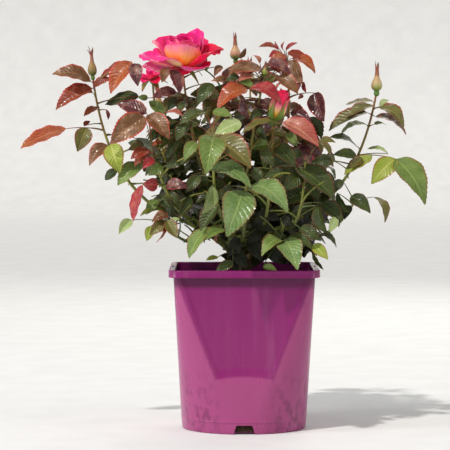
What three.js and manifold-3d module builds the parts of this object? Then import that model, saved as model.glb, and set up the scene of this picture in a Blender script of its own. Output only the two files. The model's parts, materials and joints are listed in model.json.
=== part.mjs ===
// Potted rose bush: a square-topped, round-footed plastic pot full of soil, a short grafted
// stem, arching canes, and one leafy shoot that carries on from the tip of each cane.
// Millimetres, +Z up. The origin is the centre of the pot's flat underside and the shoots
// that the front view shows best lie towards -Y.
import * as THREE from 'three';
import { mergeVertices } from 'three/addons/utils/BufferGeometryUtils.js';
import Module from 'manifold-3d';

const wasm = await Module();
wasm.setup();

// Pot
const POT_HEIGHT = 218;
const POT_BASE_RADIUS = 84;
const POT_TOP_HALF_WIDTH = 93.5;
const POT_TOP_CORNER = 10.5;
const POT_WALL = 1.8;
const POT_FLOOR = 3;
const RIM_HALF_WIDTH = 100;
const RIM_CORNER = 18;
const RIM_DEPTH = 10;
const CORNER_STEPS = 6;
const NOTCH_HEIGHT = 12;
const NOTCH_TOP_WIDTH = 21;
const NOTCH_FOOT_WIDTH = 29;
const NOTCH_REACH = 10;

// Soil and the grafted stem that stands on it
const CLEAR = 0.3;
const SOIL_TOP = 196;
const STEM_LEAN = -4;
const STEM_SIDES = 10;
const STEM_PROFILE = [[17, 0], [12.5, 4], [10, 10], [11.5, 17], [13.5, 23], [11, 30], [5, 33]];
const CANE_SOURCE_HEIGHT = 22;

// Canes, shoots and leaf stalks: radii at the foot and at the tip, then how round and how fine
const CANE_FOOT_RADIUS = 4;
const CANE_TIP_RADIUS = 2.6;
const CANE_SIDES = 6;
const CANE_STEPS = 5;
const SHOOT_FOOT_RADIUS = 2.4;
const SHOOT_TIP_RADIUS = 1.3;
const SHOOT_SIDES = 4;
const SHOOT_STEPS = 4;
const STALK_FOOT_RADIUS = 1.5;
const STALK_TIP_RADIUS = 1;

// How a limb leaves its parent: this share of its span, out and up
const LIMB_START_SHARE = 0.45;
const LIMB_START_OUT = 0.55;
const LIMB_START_UP = 0.83;

// Leaves follow one another round the stem by this turn
const LEAF_TURN = 144;
const LEAF_TURN_SPREAD = 24;
const FIRST_LEAF_AT = 0.06;
const LAST_LEAF_AT = 0.92;
const STALK_LENGTH = 62;
const BLADE_LENGTH = 60;
const TOP_LEAF_SHARE = 0.62;
const STALK_CLIMB = 14;
const STALK_CLIMB_SPREAD = 22;
const BLADE_CLIMB = -38;
const BLADE_CLIMB_SPREAD = 28;
const ROLL_SPREAD = 30;
const STALK_ARCH = 0.1;
const OUTWARD_LEAN = 1.1;

// One blade, as shares of its own length and width: near and far are its widest stations
const BLADE_WIDTH_SHARE = 0.58;
const BLADE_FOLD = 0.2;
const BLADE_NEAR = [0.3, 0.46];
const BLADE_FAR = [0.68, 0.35];
const SIDE_BLADE_ANGLE = 62;
const SIDE_BLADE_DROOP = 0.45;
const SIDE_BLADE_SHARE = [0.86, 0.68, 0.52];
const SIDE_BLADE_AT = [0.76, 0.48, 0.24];
const NECK_WIDTH = 2.4;
const GUARD_THICKNESS = 1.6;
const GUARD_SPREAD = 1.05;
const GUARD_ROOT_SHARE = 0.08;
const STALK_GUARD = 0.6;
const THINNEST_BLADE = 0.25;
const MOST_TWIST = 0.55;
const SHORTEST_EDGE = 0.012;
const GUARD_SIDES = 6;

// The crown's outline from the front: at each height, how far it reaches to the left and to
// the right. Only aimed leaves and flowers stand out of it.
const CROWN_EDGES = [
  [200, -30, 100], [240, -30, 105], [260, -73, 123], [280, -115, 132], [307, -120, 143],
  [334, -140, 143], [361, -150, 143], [388, -140, 116], [409, -133, 110], [429, -133, 92],
  [449, -127, 84], [469, -25, 84], [496, -5, 80], [517, 24, 70], [540, 40, 60],
];

// Flowers: radius and height shares along the axis, from the stalk to the top
const BUD_PROFILE = [[0.35, 0], [0.75, 0.1], [1, 0.3], [0.62, 0.58], [0.22, 0.8], [0.1, 1]];
const HALF_OPEN_PROFILE = [[0.3, 0], [0.75, 0.16], [1, 0.42], [0.85, 0.78], [0.45, 1]];
const BLOOM_PROFILE = [[0.12, 0], [0.46, 0.16], [0.92, 0.44], [1, 0.58], [0.7, 0.74], [0.4, 0.95], [0.2, 1]];
const FLOWER_KINDS = {
  bud: { profile: BUD_PROFILE, radius: 8.5, height: 40, sides: 7 },
  small_bud: { profile: BUD_PROFILE, radius: 6, height: 24, sides: 6 },
  half_open: { profile: HALF_OPEN_PROFILE, radius: 14.5, height: 46, sides: 8 },
  bloom: { profile: BLOOM_PROFILE, radius: 52, height: 58, sides: 12 },
  small_bloom: { profile: BLOOM_PROFILE, radius: 22, height: 26, sides: 9 },
};

// Every cane with the shoot it carries. from: the parent limb, at: how far along it (main
// canes leave the grafted stem by their heading, in degrees round +Z from +X). tip: end of
// the cane, end: foot of the flower at the top of its shoot. leaves: how many the seeded
// rule draws, turn: heading of the first. aimed: leaves whose place is known, each with its
// stalk's end, the tip of its last blade, how many blades, and its roll.
const LIMBS = [
  {
    name: 'bloom', heading: 245, tip: [-30, -12, 284], end: [-82, -20, 480],
    flower: 'bloom', axis: [0.12, -0.1, 1], leaves: 8, turn: 250, seed: 11,
    aimed: [
      { at: 0.52, hinge: [-55, -68, 404], tip: [-46, -98, 366], blades: 5, roll: 0 },
      { at: 0.9, hinge: [-100, -48, 480], tip: [-88, -62, 449], blades: 1, roll: 0 },
    ],
  },
  {
    name: 'left_bud', heading: 192, tip: [-92, -12, 284], end: [-203, -15, 474],
    flower: 'bud', axis: [0, 0, 1], leaves: 8, turn: 30, seed: 23,
    aimed: [
      { at: 0.55, hinge: [-238, -30, 403], tip: [-299, -40, 379], blades: 3, roll: 62 },
      { at: 0.88, hinge: [-214, -22, 472], tip: [-258, -34, 481], blades: 1, roll: -20 },
      { at: 0.85, hinge: [-208, -32, 452], tip: [-250, -52, 429], blades: 3, roll: 30 },
      { at: 0.86, hinge: [-196, -8, 461], tip: [-164, 4, 474], blades: 1, roll: 10 },
      { at: 0.42, hinge: [-180, -40, 384], tip: [-167, -52, 342], blades: 3, roll: 0 },
      { at: 0.7, hinge: [-194, -20, 432], tip: [-216, -32, 421], blades: 1, roll: 20 },
      { at: 0.9, hinge: [-168, -24, 483], tip: [-194, -16, 469], blades: 1, roll: 0 },
      { at: 0.6, hinge: [-206, -32, 404], tip: [-224, -44, 373], blades: 1, roll: 0 },
    ],
  },
  {
    name: 'right_red', heading: 40, tip: [28, 22, 278], end: [58, 12, 499],
    flower: null, leaves: 8, turn: 200, seed: 37,
    aimed: [
      { at: 0.97, hinge: [60, 8, 504], tip: [54, 8, 523], blades: 1, roll: 0 },
      { at: 0.95, hinge: [66, 6, 500], tip: [82, 6, 519], blades: 1, roll: 30 },
      { at: 0.9, hinge: [72, 2, 482], tip: [98, -4, 480], blades: 3, roll: 20 },
      { at: 0.86, hinge: [64, -10, 490], tip: [76, -30, 459], blades: 3, roll: 0 },
      { at: 0.6, hinge: [95, -14, 452], tip: [107, -22, 413], blades: 1, roll: 0 },
      { at: 0.8, hinge: [44, -12, 476], tip: [18, -22, 494], blades: 3, roll: -20 },
      { at: 0.9, hinge: [60, -30, 478], tip: [73, -48, 452], blades: 1, roll: 0 },
      { at: 0.93, hinge: [56, -26, 490], tip: [34, -34, 495], blades: 1, roll: 0 },
    ],
  },
  {
    name: 'right_bud', heading: 352, tip: [78, 2, 284], end: [179, 0, 454],
    flower: 'bud', axis: [0.02, 0, 1], leaves: 7, turn: 106, seed: 43,
    aimed: [
      { at: 0.84, hinge: [166, 8, 442], tip: [137, 20, 436], blades: 1, roll: 0 },
      { at: 0.8, hinge: [164, -12, 428], tip: [112, -32, 402], blades: 3, roll: 10 },
      { at: 0.84, hinge: [192, 0, 438], tip: [221, 6, 428], blades: 1, roll: 10 },
      { at: 0.76, hinge: [190, -12, 424], tip: [220, -12, 398], blades: 3, roll: 0 },
      { at: 0.5, hinge: [198, -16, 365], tip: [244, -34, 303], blades: 5, roll: 0 },
      { at: 0.42, hinge: [172, -24, 352], tip: [138, -50, 336], blades: 3, roll: 0 },
      { at: 0.7, hinge: [160, -8, 408], tip: [130, -6, 398], blades: 1, roll: 0 },
      { at: 0.45, hinge: [175, -24, 314], tip: [195, -26, 282], blades: 1, roll: 0 },
    ],
  },
  {
    name: 'front_centre', heading: 288, tip: [-18, -42, 268], end: [-38, -84, 396],
    flower: null, leaves: 8, turn: 250, seed: 53,
    aimed: [
      { at: 0.97, hinge: [-40, -94, 394], tip: [-52, -124, 346], blades: 1, roll: 0 },
      { at: 0.93, hinge: [-34, -92, 388], tip: [8, -122, 356], blades: 3, roll: 0 },
      { at: 0.55, hinge: [-46, -104, 352], tip: [6, -128, 330], blades: 3, roll: 0 },
    ],
  },
  {
    name: 'back_left', heading: 135, tip: [-48, 46, 270], end: [-118, 150, 428],
    flower: 'bud', axis: [-0.1, 0.2, 1], leaves: 9, turn: 120, seed: 61, aimed: [],
  },
  {
    name: 'back_right', heading: 82, tip: [46, 48, 268], end: [84, 142, 404],
    flower: 'small_bud', axis: [0.1, 0.2, 1], leaves: 9, turn: 40, seed: 67, aimed: [],
  },
  {
    name: 'second_bloom', from: 'bloom', at: 0.5, tip: [-50, 20, 282], end: [-124, 30, 466],
    flower: 'small_bloom', axis: [-0.25, -0.2, 1], leaves: 7, turn: 90, seed: 71,
    aimed: [
      { at: 0.93, hinge: [-151, 4, 488], tip: [-180, -12, 453], blades: 3, roll: 0 },
      { at: 0.72, hinge: [-131, -45, 424], tip: [-175, -68, 388], blades: 3, roll: 0 },
      { at: 0.3, hinge: [-143, -22, 360], tip: [-168, -46, 328], blades: 3, roll: 0 },
    ],
  },
  {
    name: 'centre_bud', from: 'right_red', at: 0.42, tip: [-8, 28, 286], end: [-11, 25, 497],
    flower: 'bud', axis: [0, 0, 1], leaves: 8, turn: 320, seed: 79, aimed: [],
  },
  {
    name: 'middle_red', from: 'front_centre', at: 0.4, tip: [0, -28, 278], end: [27, -40, 474],
    flower: 'small_bud', axis: [0.1, 0, 1], leaves: 9, turn: 20, seed: 83,
    aimed: [
      { at: 0.9, hinge: [4, -46, 457], tip: [-38, -70, 430], blades: 3, roll: 10 },
      { at: 0.88, hinge: [10, -48, 458], tip: [50, -70, 440], blades: 1, roll: -10 },
      { at: 0.96, hinge: [20, -46, 484], tip: [-24, -54, 482], blades: 1, roll: 10 },
    ],
  },
  {
    name: 'half_open', from: 'right_bud', at: 0.3, tip: [24, -40, 270], end: [38, -58, 412],
    flower: 'half_open', axis: [0.34, 0.04, 1], leaves: 13, turn: 330, seed: 97,
    aimed: [
      { at: 0.85, hinge: [58, -74, 406], tip: [98, -92, 378], blades: 3, roll: 0 },
    ],
  },
  {
    name: 'left_tuft', from: 'left_bud', at: 0.62, tip: [-72, -34, 284], end: [-121, -46, 368],
    flower: null, leaves: 8, turn: 170, seed: 101,
    aimed: [
      { at: 0.97, hinge: [-122, -48, 372], tip: [-128, -52, 384], blades: 1, roll: 0 },
      { at: 0.9, hinge: [-134, -54, 366], tip: [-146, -62, 340], blades: 3, roll: 0 },
      { at: 0.45, hinge: [-134, -56, 326], tip: [-148, -64, 280], blades: 3, roll: 40 },
      { at: 0.5, hinge: [-112, -64, 334], tip: [-78, -74, 327], blades: 1, roll: 0 },
    ],
  },
  {
    name: 'left_low', from: 'left_bud', at: 0.4, tip: [-58, -30, 254], end: [-112, -50, 282],
    flower: null, leaves: 9, turn: 190, seed: 107,
    aimed: [
      { at: 0.8, hinge: [-118, -58, 276], tip: [-136, -66, 250], blades: 3, roll: 0 },
      { at: 0.5, hinge: [-98, -62, 274], tip: [-88, -78, 252], blades: 3, roll: 0 },
    ],
  },
  {
    name: 'right_low', from: 'right_bud', at: 0.55, tip: [80, -22, 262], end: [150, -24, 308],
    flower: null, leaves: 10, turn: 350, seed: 113,
    aimed: [
      { at: 0.95, hinge: [166, -20, 304], tip: [194, -14, 290], blades: 3, roll: 0 },
    ],
  },
  {
    name: 'front_low', from: 'front_centre', at: 0.62, tip: [-4, -58, 256], end: [2, -96, 338],
    flower: null, leaves: 9, turn: 230, seed: 127,
    aimed: [
      { at: 0.96, hinge: [2, -102, 334], tip: [-24, -130, 268], blades: 1, roll: 0 },
      { at: 0.9, hinge: [18, -102, 336], tip: [60, -124, 299], blades: 3, roll: 0 },
    ],
  },
  {
    name: 'front_right', from: 'right_bud', at: 0.42, tip: [54, -42, 270], end: [80, -64, 360],
    flower: null, leaves: 12, turn: 320, seed: 131,
    aimed: [
      { at: 0.6, hinge: [90, -80, 334], tip: [132, -96, 304], blades: 3, roll: 0 },
    ],
  },
  {
    name: 'centre_low', from: 'front_centre', at: 0.3, tip: [20, -28, 238], end: [52, -72, 276],
    flower: null, leaves: 7, turn: 60, seed: 151,
    aimed: [
      { at: 0.97, hinge: [54, -84, 262], tip: [69, -100, 223], blades: 3, roll: 0 },
      { at: 0.85, hinge: [36, -76, 268], tip: [8, -94, 246], blades: 1, roll: 0 },
      { at: 0.6, hinge: [26, -62, 250], tip: [30, -86, 226], blades: 1, roll: 0 },
    ],
  },
  {
    name: 'right_hanging', from: 'right_bud', at: 0.25, tip: [52, -22, 240], end: [92, -50, 268],
    flower: null, leaves: 8, turn: 300, seed: 157,
    aimed: [
      { at: 0.96, hinge: [96, -62, 258], tip: [112, -80, 230], blades: 3, roll: 0 },
      { at: 0.7, hinge: [84, -58, 246], tip: [100, -70, 212], blades: 1, roll: 0 },
    ],
  },
  {
    name: 'rim_left', from: 'bloom', at: 0.22, tip: [-18, -34, 236], end: [-14, -66, 244],
    flower: null, leaves: 7, turn: 230, seed: 163,
    aimed: [
      { at: 0.95, hinge: [-16, -74, 234], tip: [-40, -88, 222], blades: 1, roll: 0 },
      { at: 0.7, hinge: [4, -66, 242], tip: [8, -88, 224], blades: 1, roll: 0 },
    ],
  },
  {
    name: 'back_centre', from: 'back_left', at: 0.4, tip: [-8, 58, 276], end: [10, 150, 466],
    flower: 'bud', axis: [0, 0.1, 1], leaves: 9, turn: 80, seed: 137, aimed: [],
  },
  {
    name: 'back_low', from: 'back_right', at: 0.5, tip: [10, 74, 252], end: [30, 168, 318],
    flower: null, leaves: 10, turn: 60, seed: 149, aimed: [],
  },
];

const UP = new THREE.Vector3(0, 0, 1);

function vector(values) {
  return new THREE.Vector3(...values);
}

function degrees(angle) {
  return THREE.MathUtils.degToRad(angle);
}

// A draw between 0 and 1 that gives the same sequence for the same seed.
function seededDraw(seed) {
  let state = seed;
  return () => {
    state = (state * 16807) % 2147483647;
    return state / 2147483647;
  };
}

function solidOf(geometry) {
  const bare = geometry.index ? geometry.toNonIndexed() : geometry;
  bare.deleteAttribute('normal');
  bare.deleteAttribute('uv');
  const merged = mergeVertices(bare, 1e-4);
  return new wasm.Manifold(new wasm.Mesh({
    numProp: 3,
    vertProperties: new Float32Array(merged.attributes.position.array),
    triVerts: new Uint32Array(merged.index.array),
  }));
}

function geometryOf(solid) {
  const mesh = solid.getMesh();
  const geometry = new THREE.BufferGeometry();
  geometry.setAttribute('position', new THREE.BufferAttribute(mesh.vertProperties, 3));
  geometry.setIndex(new THREE.BufferAttribute(mesh.triVerts, 1));
  return geometry;
}

// The largest closed piece alone: loose scraps are dropped and sealed hollows are filled.
function largestPiece(solid) {
  const pieces = solid.decompose();
  return pieces.reduce((best, piece) => (piece.volume() > best.volume() ? piece : best));
}

// A closed body through rings that all have the same number of points.
function loft(rings) {
  const count = rings[0].length;
  const points = rings.flat();
  const faces = [];
  for (let level = 0; level + 1 < rings.length; level++) {
    for (let i = 0; i < count; i++) {
      const low = level * count + i;
      const lowNext = level * count + (i + 1) % count;
      faces.push(low, lowNext, lowNext + count, low, lowNext + count, low + count);
    }
  }
  const foot = points.push(new THREE.Vector3(0, 0, rings[0][0].z)) - 1;
  const head = points.push(new THREE.Vector3(0, 0, rings.at(-1)[0].z)) - 1;
  const topRing = (rings.length - 1) * count;
  for (let i = 0; i < count; i++) {
    const next = (i + 1) % count;
    faces.push(foot, next, i, head, topRing + i, topRing + next);
  }
  const geometry = new THREE.BufferGeometry().setFromPoints(points);
  geometry.setIndex(faces);
  return geometry;
}

// A square with round corners, level at one height.
function roundedSquare(straight, corner, z) {
  const ring = [];
  for (let quarter = 0; quarter < 4; quarter++) {
    for (let step = 0; step <= CORNER_STEPS; step++) {
      const angle = degrees(90 * (quarter + step / CORNER_STEPS));
      const middle = degrees(90 * quarter + 45);
      const x = Math.SQRT2 * straight * Math.cos(middle) + corner * Math.cos(angle);
      const y = Math.SQRT2 * straight * Math.sin(middle) + corner * Math.sin(angle);
      ring.push(new THREE.Vector3(x, y, z));
    }
  }
  return ring;
}

// The pot's side at one height, moved in by a wall: round at the foot, square at the top.
function potRing(z, inset) {
  const rise = z / (POT_HEIGHT - RIM_DEPTH);
  const smallestFlat = 0.5;
  const topStraight = POT_TOP_HALF_WIDTH - POT_TOP_CORNER;
  const straight = THREE.MathUtils.lerp(smallestFlat, topStraight, rise);
  const corner = THREE.MathUtils.lerp(POT_BASE_RADIUS - smallestFlat, POT_TOP_CORNER, rise);
  return roundedSquare(straight, corner - inset, z);
}

function rimRing(z, inset) {
  return roundedSquare(RIM_HALF_WIDTH - RIM_CORNER, RIM_CORNER - inset, z);
}

// A drain notch through the foot of the wall, cut on all four sides.
function drainNotches() {
  const outline = new THREE.Shape();
  outline.moveTo(-NOTCH_FOOT_WIDTH / 2, -1);
  outline.lineTo(NOTCH_FOOT_WIDTH / 2, -1);
  outline.lineTo(NOTCH_TOP_WIDTH / 2, NOTCH_HEIGHT);
  outline.lineTo(-NOTCH_TOP_WIDTH / 2, NOTCH_HEIGHT);
  const depth = NOTCH_REACH + 5;
  const solids = [];
  for (let side = 0; side < 4; side++) {
    const geometry = new THREE.ExtrudeGeometry(outline, { depth, bevelEnabled: false });
    geometry.rotateX(Math.PI / 2);
    geometry.translate(0, -(POT_BASE_RADIUS - NOTCH_REACH), 0);
    geometry.rotateZ(side * Math.PI / 2);
    solids.push(solidOf(geometry));
  }
  return solids;
}

function potSolid() {
  const underRim = POT_HEIGHT - RIM_DEPTH;
  const lipTop = POT_HEIGHT - POT_WALL;
  let pot = solidOf(loft([potRing(0, 0), potRing(underRim, 0), potRing(lipTop + 1, 0)]));
  const lip = solidOf(loft([rimRing(underRim, 0), rimRing(POT_HEIGHT, 0)]));
  const underLip = solidOf(loft([rimRing(underRim - 1, POT_WALL), rimRing(lipTop, POT_WALL)]));
  pot = lip.subtract(underLip).add(pot);
  pot = pot.subtract(solidOf(loft([potRing(POT_FLOOR, POT_WALL), potRing(POT_HEIGHT + 1, POT_WALL)])));
  for (const notch of drainNotches()) {
    pot = pot.subtract(notch);
  }
  return pot;
}

function soilSolid() {
  const inset = POT_WALL + CLEAR;
  return solidOf(loft([potRing(POT_FLOOR + CLEAR, inset), potRing(SOIL_TOP - CLEAR, inset)]));
}

// The grafted stem: flared where it meets the soil, swollen at the graft, a little leaning.
function stemGeometry(margin) {
  const profile = STEM_PROFILE.map(([radius, z]) => new THREE.Vector2(radius + margin, z));
  const height = STEM_PROFILE.at(-1)[1];
  profile.unshift(new THREE.Vector2(0, 0));
  profile.push(new THREE.Vector2(0, height + margin));
  const geometry = new THREE.LatheGeometry(profile, STEM_SIDES);
  geometry.rotateX(Math.PI / 2);
  const place = geometry.attributes.position;
  for (let i = 0; i < place.count; i++) {
    place.setX(i, place.getX(i) + STEM_LEAN * place.getZ(i) / height);
  }
  geometry.translate(0, 0, SOIL_TOP);
  return geometry;
}

// A tapering limb along a plane curve, closed at both ends, with one edge of it on the side
// that the curve arches towards.
function limbGeometry(curve, footRadius, tipRadius, sides, steps) {
  const geometry = new THREE.CylinderGeometry(tipRadius, footRadius, 1, sides, steps);
  const chord = curve.v2.clone().sub(curve.v0);
  const side = chord.cross(curve.v1.clone().sub(curve.v0)).normalize();
  const place = geometry.attributes.position;
  for (let i = 0; i < place.count; i++) {
    const along = Math.round((place.getY(i) + 0.5) * steps) / steps;
    const normal = side.clone().cross(curve.getTangentAt(along));
    const point = curve.getPointAt(along);
    point.addScaledVector(side, place.getX(i)).addScaledVector(normal, place.getZ(i));
    place.setXYZ(i, point.x, point.y, point.z);
  }
  return geometry;
}

// Leaves its foot out and up, then bends over to its tip.
function arching(foot, heading, tip) {
  const reach = LIMB_START_SHARE * foot.distanceTo(tip);
  const bend = foot.clone().addScaledVector(heading, LIMB_START_OUT * reach);
  bend.addScaledVector(UP, LIMB_START_UP * reach);
  return new THREE.QuadraticBezierCurve3(foot, bend, tip);
}

function caneCurve(limb, curves) {
  const tip = vector(limb.tip);
  if (limb.from) {
    const foot = curves[limb.from].getPointAt(limb.at);
    const heading = tip.clone().sub(foot).setZ(0).normalize();
    return arching(foot, heading, tip);
  }
  const lean = STEM_LEAN * CANE_SOURCE_HEIGHT / STEM_PROFILE.at(-1)[1];
  const foot = new THREE.Vector3(lean, 0, SOIL_TOP + CANE_SOURCE_HEIGHT);
  const angle = degrees(limb.heading);
  return arching(foot, new THREE.Vector3(Math.cos(angle), Math.sin(angle), 0), tip);
}

// A shoot carries straight on from its cane, a clear gap beyond the cane's tip.
function shootCurve(limb, cane) {
  const direction = cane.getTangentAt(1);
  const foot = cane.getPointAt(1).addScaledVector(direction, CLEAR);
  const end = vector(limb.end);
  const bend = foot.clone().addScaledVector(direction, LIMB_START_SHARE * foot.distanceTo(end));
  return new THREE.QuadraticBezierCurve3(foot, bend, end);
}

// The upper side of a leaf: up and a little outwards, square to the way it points.
function upperSide(direction, outward, roll) {
  const normal = UP.clone().addScaledVector(outward, OUTWARD_LEAN);
  normal.addScaledVector(direction, -normal.dot(direction)).normalize();
  return normal.applyAxisAngle(direction, roll);
}

// The outline of one folded blade: widest points on its right and left, then its tip.
function bladeOutline(root, tip, normal) {
  const forward = tip.clone().sub(root);
  const length = forward.length();
  forward.normalize();
  const side = forward.clone().cross(normal);
  const width = BLADE_WIDTH_SHARE * length;
  const edge = ([along, across], way) => root.clone()
    .addScaledVector(forward, along * length)
    .addScaledVector(side, way * across * width)
    .addScaledVector(normal, BLADE_FOLD * across * width);
  return {
    root, tip, normal,
    right: [edge(BLADE_NEAR, 1), edge(BLADE_FAR, 1)],
    left: [edge(BLADE_NEAR, -1), edge(BLADE_FAR, -1)],
  };
}

// A stout lozenge round a blade, from a little way out along it, to test that it keeps clear.
function bladeGuard({ root, tip, normal, right, left }) {
  const start = root.clone().lerp(tip, GUARD_ROOT_SHARE);
  const centre = root.clone().lerp(tip, 0.5);
  const ring = [start, ...right, tip, ...left.toReversed()].map((point) => (
    centre.clone().lerp(point, GUARD_SPREAD)
  ));
  const above = centre.clone().addScaledVector(normal, GUARD_THICKNESS);
  const below = centre.clone().addScaledVector(normal, -GUARD_THICKNESS);
  const triangles = ring.flatMap((point, i) => {
    const next = ring[(i + 1) % ring.length];
    return [above, point, next, below, next, point];
  });
  return solidOf(new THREE.BufferGeometry().setFromPoints(triangles));
}

// Where the blades of one compound leaf lie: one at the stalk's end, then pairs of side blades.
function compoundLeaf({ node, hinge, tip, blades, roll }) {
  const turn = degrees(roll);
  const outward = hinge.clone().sub(node).setZ(0).normalize();
  const rise = STALK_ARCH * node.distanceTo(hinge);
  const bend = node.clone().lerp(hinge, 0.5).addScaledVector(UP, rise);
  const stalk = new THREE.QuadraticBezierCurve3(node, bend, hinge);
  const endWay = tip.clone().sub(hinge).normalize();
  const end = bladeOutline(hinge, tip, upperSide(endWay, outward, turn));
  const pairs = [];
  for (let pair = 0; pair < (blades - 1) / 2; pair++) {
    const at = SIDE_BLADE_AT[pair];
    const root = stalk.getPointAt(at);
    const forward = stalk.getTangentAt(at);
    const across = forward.clone().cross(upperSide(forward, outward, turn));
    const [right, left] = [1, -1].map((side) => {
      const way = forward.clone().multiplyScalar(Math.cos(degrees(SIDE_BLADE_ANGLE)));
      way.addScaledVector(across, side * Math.sin(degrees(SIDE_BLADE_ANGLE)));
      way.addScaledVector(UP, -SIDE_BLADE_DROOP).normalize();
      const point = root.clone().addScaledVector(way, SIDE_BLADE_SHARE[pair] * hinge.distanceTo(tip));
      return bladeOutline(root, point, upperSide(way, outward, turn));
    });
    pairs.unshift({ at, right, left });
  }
  return { stalk, outward, turn, endWay, end, pairs };
}

// The stalk's three corners at one place along it: its ridge, and its right and left edges.
// A mitred leaf has its last section turned half way towards its end blade, so that a blade
// that hangs down keeps a thickness.
function stalkCorners({ stalk, outward, turn, endWay, mitred }, along) {
  const forward = stalk.getTangentAt(along);
  if (mitred && along === 1) {
    forward.add(endWay).normalize();
  }
  const up = upperSide(forward, outward, turn);
  const side = forward.clone().cross(up);
  const radius = THREE.MathUtils.lerp(STALK_FOOT_RADIUS, STALK_TIP_RADIUS, along);
  const point = stalk.getPointAt(along);
  const corner = (angle) => point.clone()
    .addScaledVector(up, radius * Math.cos(degrees(angle)))
    .addScaledVector(side, radius * Math.sin(degrees(angle)));
  return { ridge: corner(0), right: corner(120), left: corner(240) };
}

// How far a point lies under the plane of three others.
function depthUnder(a, b, c, point) {
  return -new THREE.Plane().setFromCoplanarPoints(a, b, c).distanceToPoint(point);
}

// True where a blade's upper faces all lie above its lower ones.
function isSound(blade, near, far) {
  const [nearWide, nearSlim] = blade.right;
  const [farWide, farSlim] = blade.left;
  return [
    depthUnder(near.over, nearWide, nearSlim, near.under),
    depthUnder(near.over, nearSlim, blade.tip, near.under),
    depthUnder(far.over, blade.tip, farSlim, far.under),
    depthUnder(far.over, farSlim, farWide, far.under),
    near.over === far.over
      ? depthUnder(near.under, far.under, blade.tip, near.over)
      : depthUnder(far.over, near.over, blade.tip, near.under),
  ].every((depth) => depth > THINNEST_BLADE);
}

// A blade's upper and lower faces fan out from its neck: near and far are the neck's ends on
// the blade's right and left, each with the stalk's ridge above and the stalk's edge below.
function bladeFaces(blade, near, far) {
  const [nearWide, nearSlim] = blade.right;
  const [farWide, farSlim] = blade.left;
  return [
    near.over, nearWide, nearSlim, near.over, nearSlim, blade.tip,
    far.over, blade.tip, farSlim, far.over, farSlim, farWide,
    near.under, nearSlim, nearWide, near.under, blade.tip, nearSlim,
    far.under, farSlim, blade.tip, far.under, farWide, farSlim,
    nearWide, near.over, near.under, farWide, far.under, far.over,
  ];
}

function sideBladeFaces(blade, near, far) {
  return [
    ...bladeFaces(blade, near, far),
    far.over, near.over, blade.tip, near.under, far.under, blade.tip,
  ];
}

function endBladeFaces(blade, { ridge, right, left }) {
  return [
    ...bladeFaces(blade, { over: ridge, under: right }, { over: ridge, under: left }),
    right, left, blade.tip,
  ];
}

function quad(a, b, c, d) {
  return [a, b, c, a, c, d];
}

// The places along a stalk where its section changes: both ends of each side blade's neck.
function stalkStations(leaf) {
  const halfNeck = NECK_WIDTH / 2 / leaf.stalk.getLength();
  const stations = [{ along: 0 }];
  for (const { at, right, left } of leaf.pairs) {
    stations.push({ along: at - halfNeck, right, left }, { along: at + halfNeck });
  }
  stations.push({ along: 1 });
  return stations.map((station) => ({ ...station, corners: stalkCorners(leaf, station.along) }));
}

// The neck that joins a side blade to its stalk, between two sections of the stalk.
function sideNeck(side, here, next) {
  const [first, second] = side === 'right' ? [here, next] : [next, here];
  return {
    near: { over: first.ridge, under: first[side] },
    far: { over: second.ridge, under: second[side] },
  };
}

function endNeck({ ridge, right, left }) {
  return { near: { over: ridge, under: right }, far: { over: ridge, under: left } };
}

// True where a stalk's sections follow one another with little twist.
function isUntwisted(stations) {
  return stations.slice(1).every(({ corners: next }, i) => {
    const here = stations[i].corners;
    const [up, nextUp] = [here, next].map(({ ridge, right, left }) => (
      ridge.clone().multiplyScalar(2).sub(right).sub(left).normalize()
    ));
    const way = next.ridge.clone().sub(here.ridge).normalize();
    const forward = next.right.clone().sub(here.right).normalize();
    return up.dot(nextUp) > MOST_TWIST && way.dot(forward) > MOST_TWIST;
  });
}

// The leaf without the blades that would turn inside out, and null where its stalk would.
function soundLeaf(plain) {
  const mitred = { ...plain, mitred: true };
  const endIsSound = (leaf) => {
    const { near, far } = endNeck(stalkStations(leaf).at(-1).corners);
    return leaf.end && isSound(leaf.end, near, far) && isUntwisted(stalkStations(leaf));
  };
  const leaf = endIsSound(mitred) ? mitred : plain;
  const stations = stalkStations(leaf);
  if (!isUntwisted(stations)) {
    return null;
  }
  const end = endIsSound(leaf) ? leaf.end : null;
  const pairs = leaf.pairs.map((pair, i) => {
    const [here, next] = [stations[2 * i + 1].corners, stations[2 * i + 2].corners];
    const kept = ['right', 'left'].map((side) => {
      const { near, far } = sideNeck(side, here, next);
      return pair[side] && isSound(pair[side], near, far) ? pair[side] : null;
    });
    return { at: pair.at, right: kept[0], left: kept[1] };
  });
  return { ...leaf, end, pairs };
}

// One compound leaf as a single closed body; a blade left out leaves the stalk whole there.
function leafSolid(leaf) {
  const stations = stalkStations(leaf);
  const first = stations[0].corners;
  const last = stations.at(-1).corners;
  const triangles = [first.ridge, first.left, first.right];
  for (let i = 0; i + 1 < stations.length; i++) {
    const [here, next] = [stations[i].corners, stations[i + 1].corners];
    triangles.push(...quad(here.left, next.left, next.right, here.right));
    if (stations[i].right) {
      const { near, far } = sideNeck('right', here, next);
      triangles.push(...sideBladeFaces(stations[i].right, near, far));
    } else {
      triangles.push(...quad(here.right, next.right, next.ridge, here.ridge));
    }
    if (stations[i].left) {
      const { near, far } = sideNeck('left', here, next);
      triangles.push(...sideBladeFaces(stations[i].left, near, far));
    } else {
      triangles.push(...quad(here.ridge, next.ridge, next.left, here.left));
    }
  }
  if (leaf.end) {
    triangles.push(...endBladeFaces(leaf.end, last));
  } else {
    triangles.push(last.ridge, last.right, last.left);
  }
  return solidOf(new THREE.BufferGeometry().setFromPoints(triangles));
}

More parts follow.
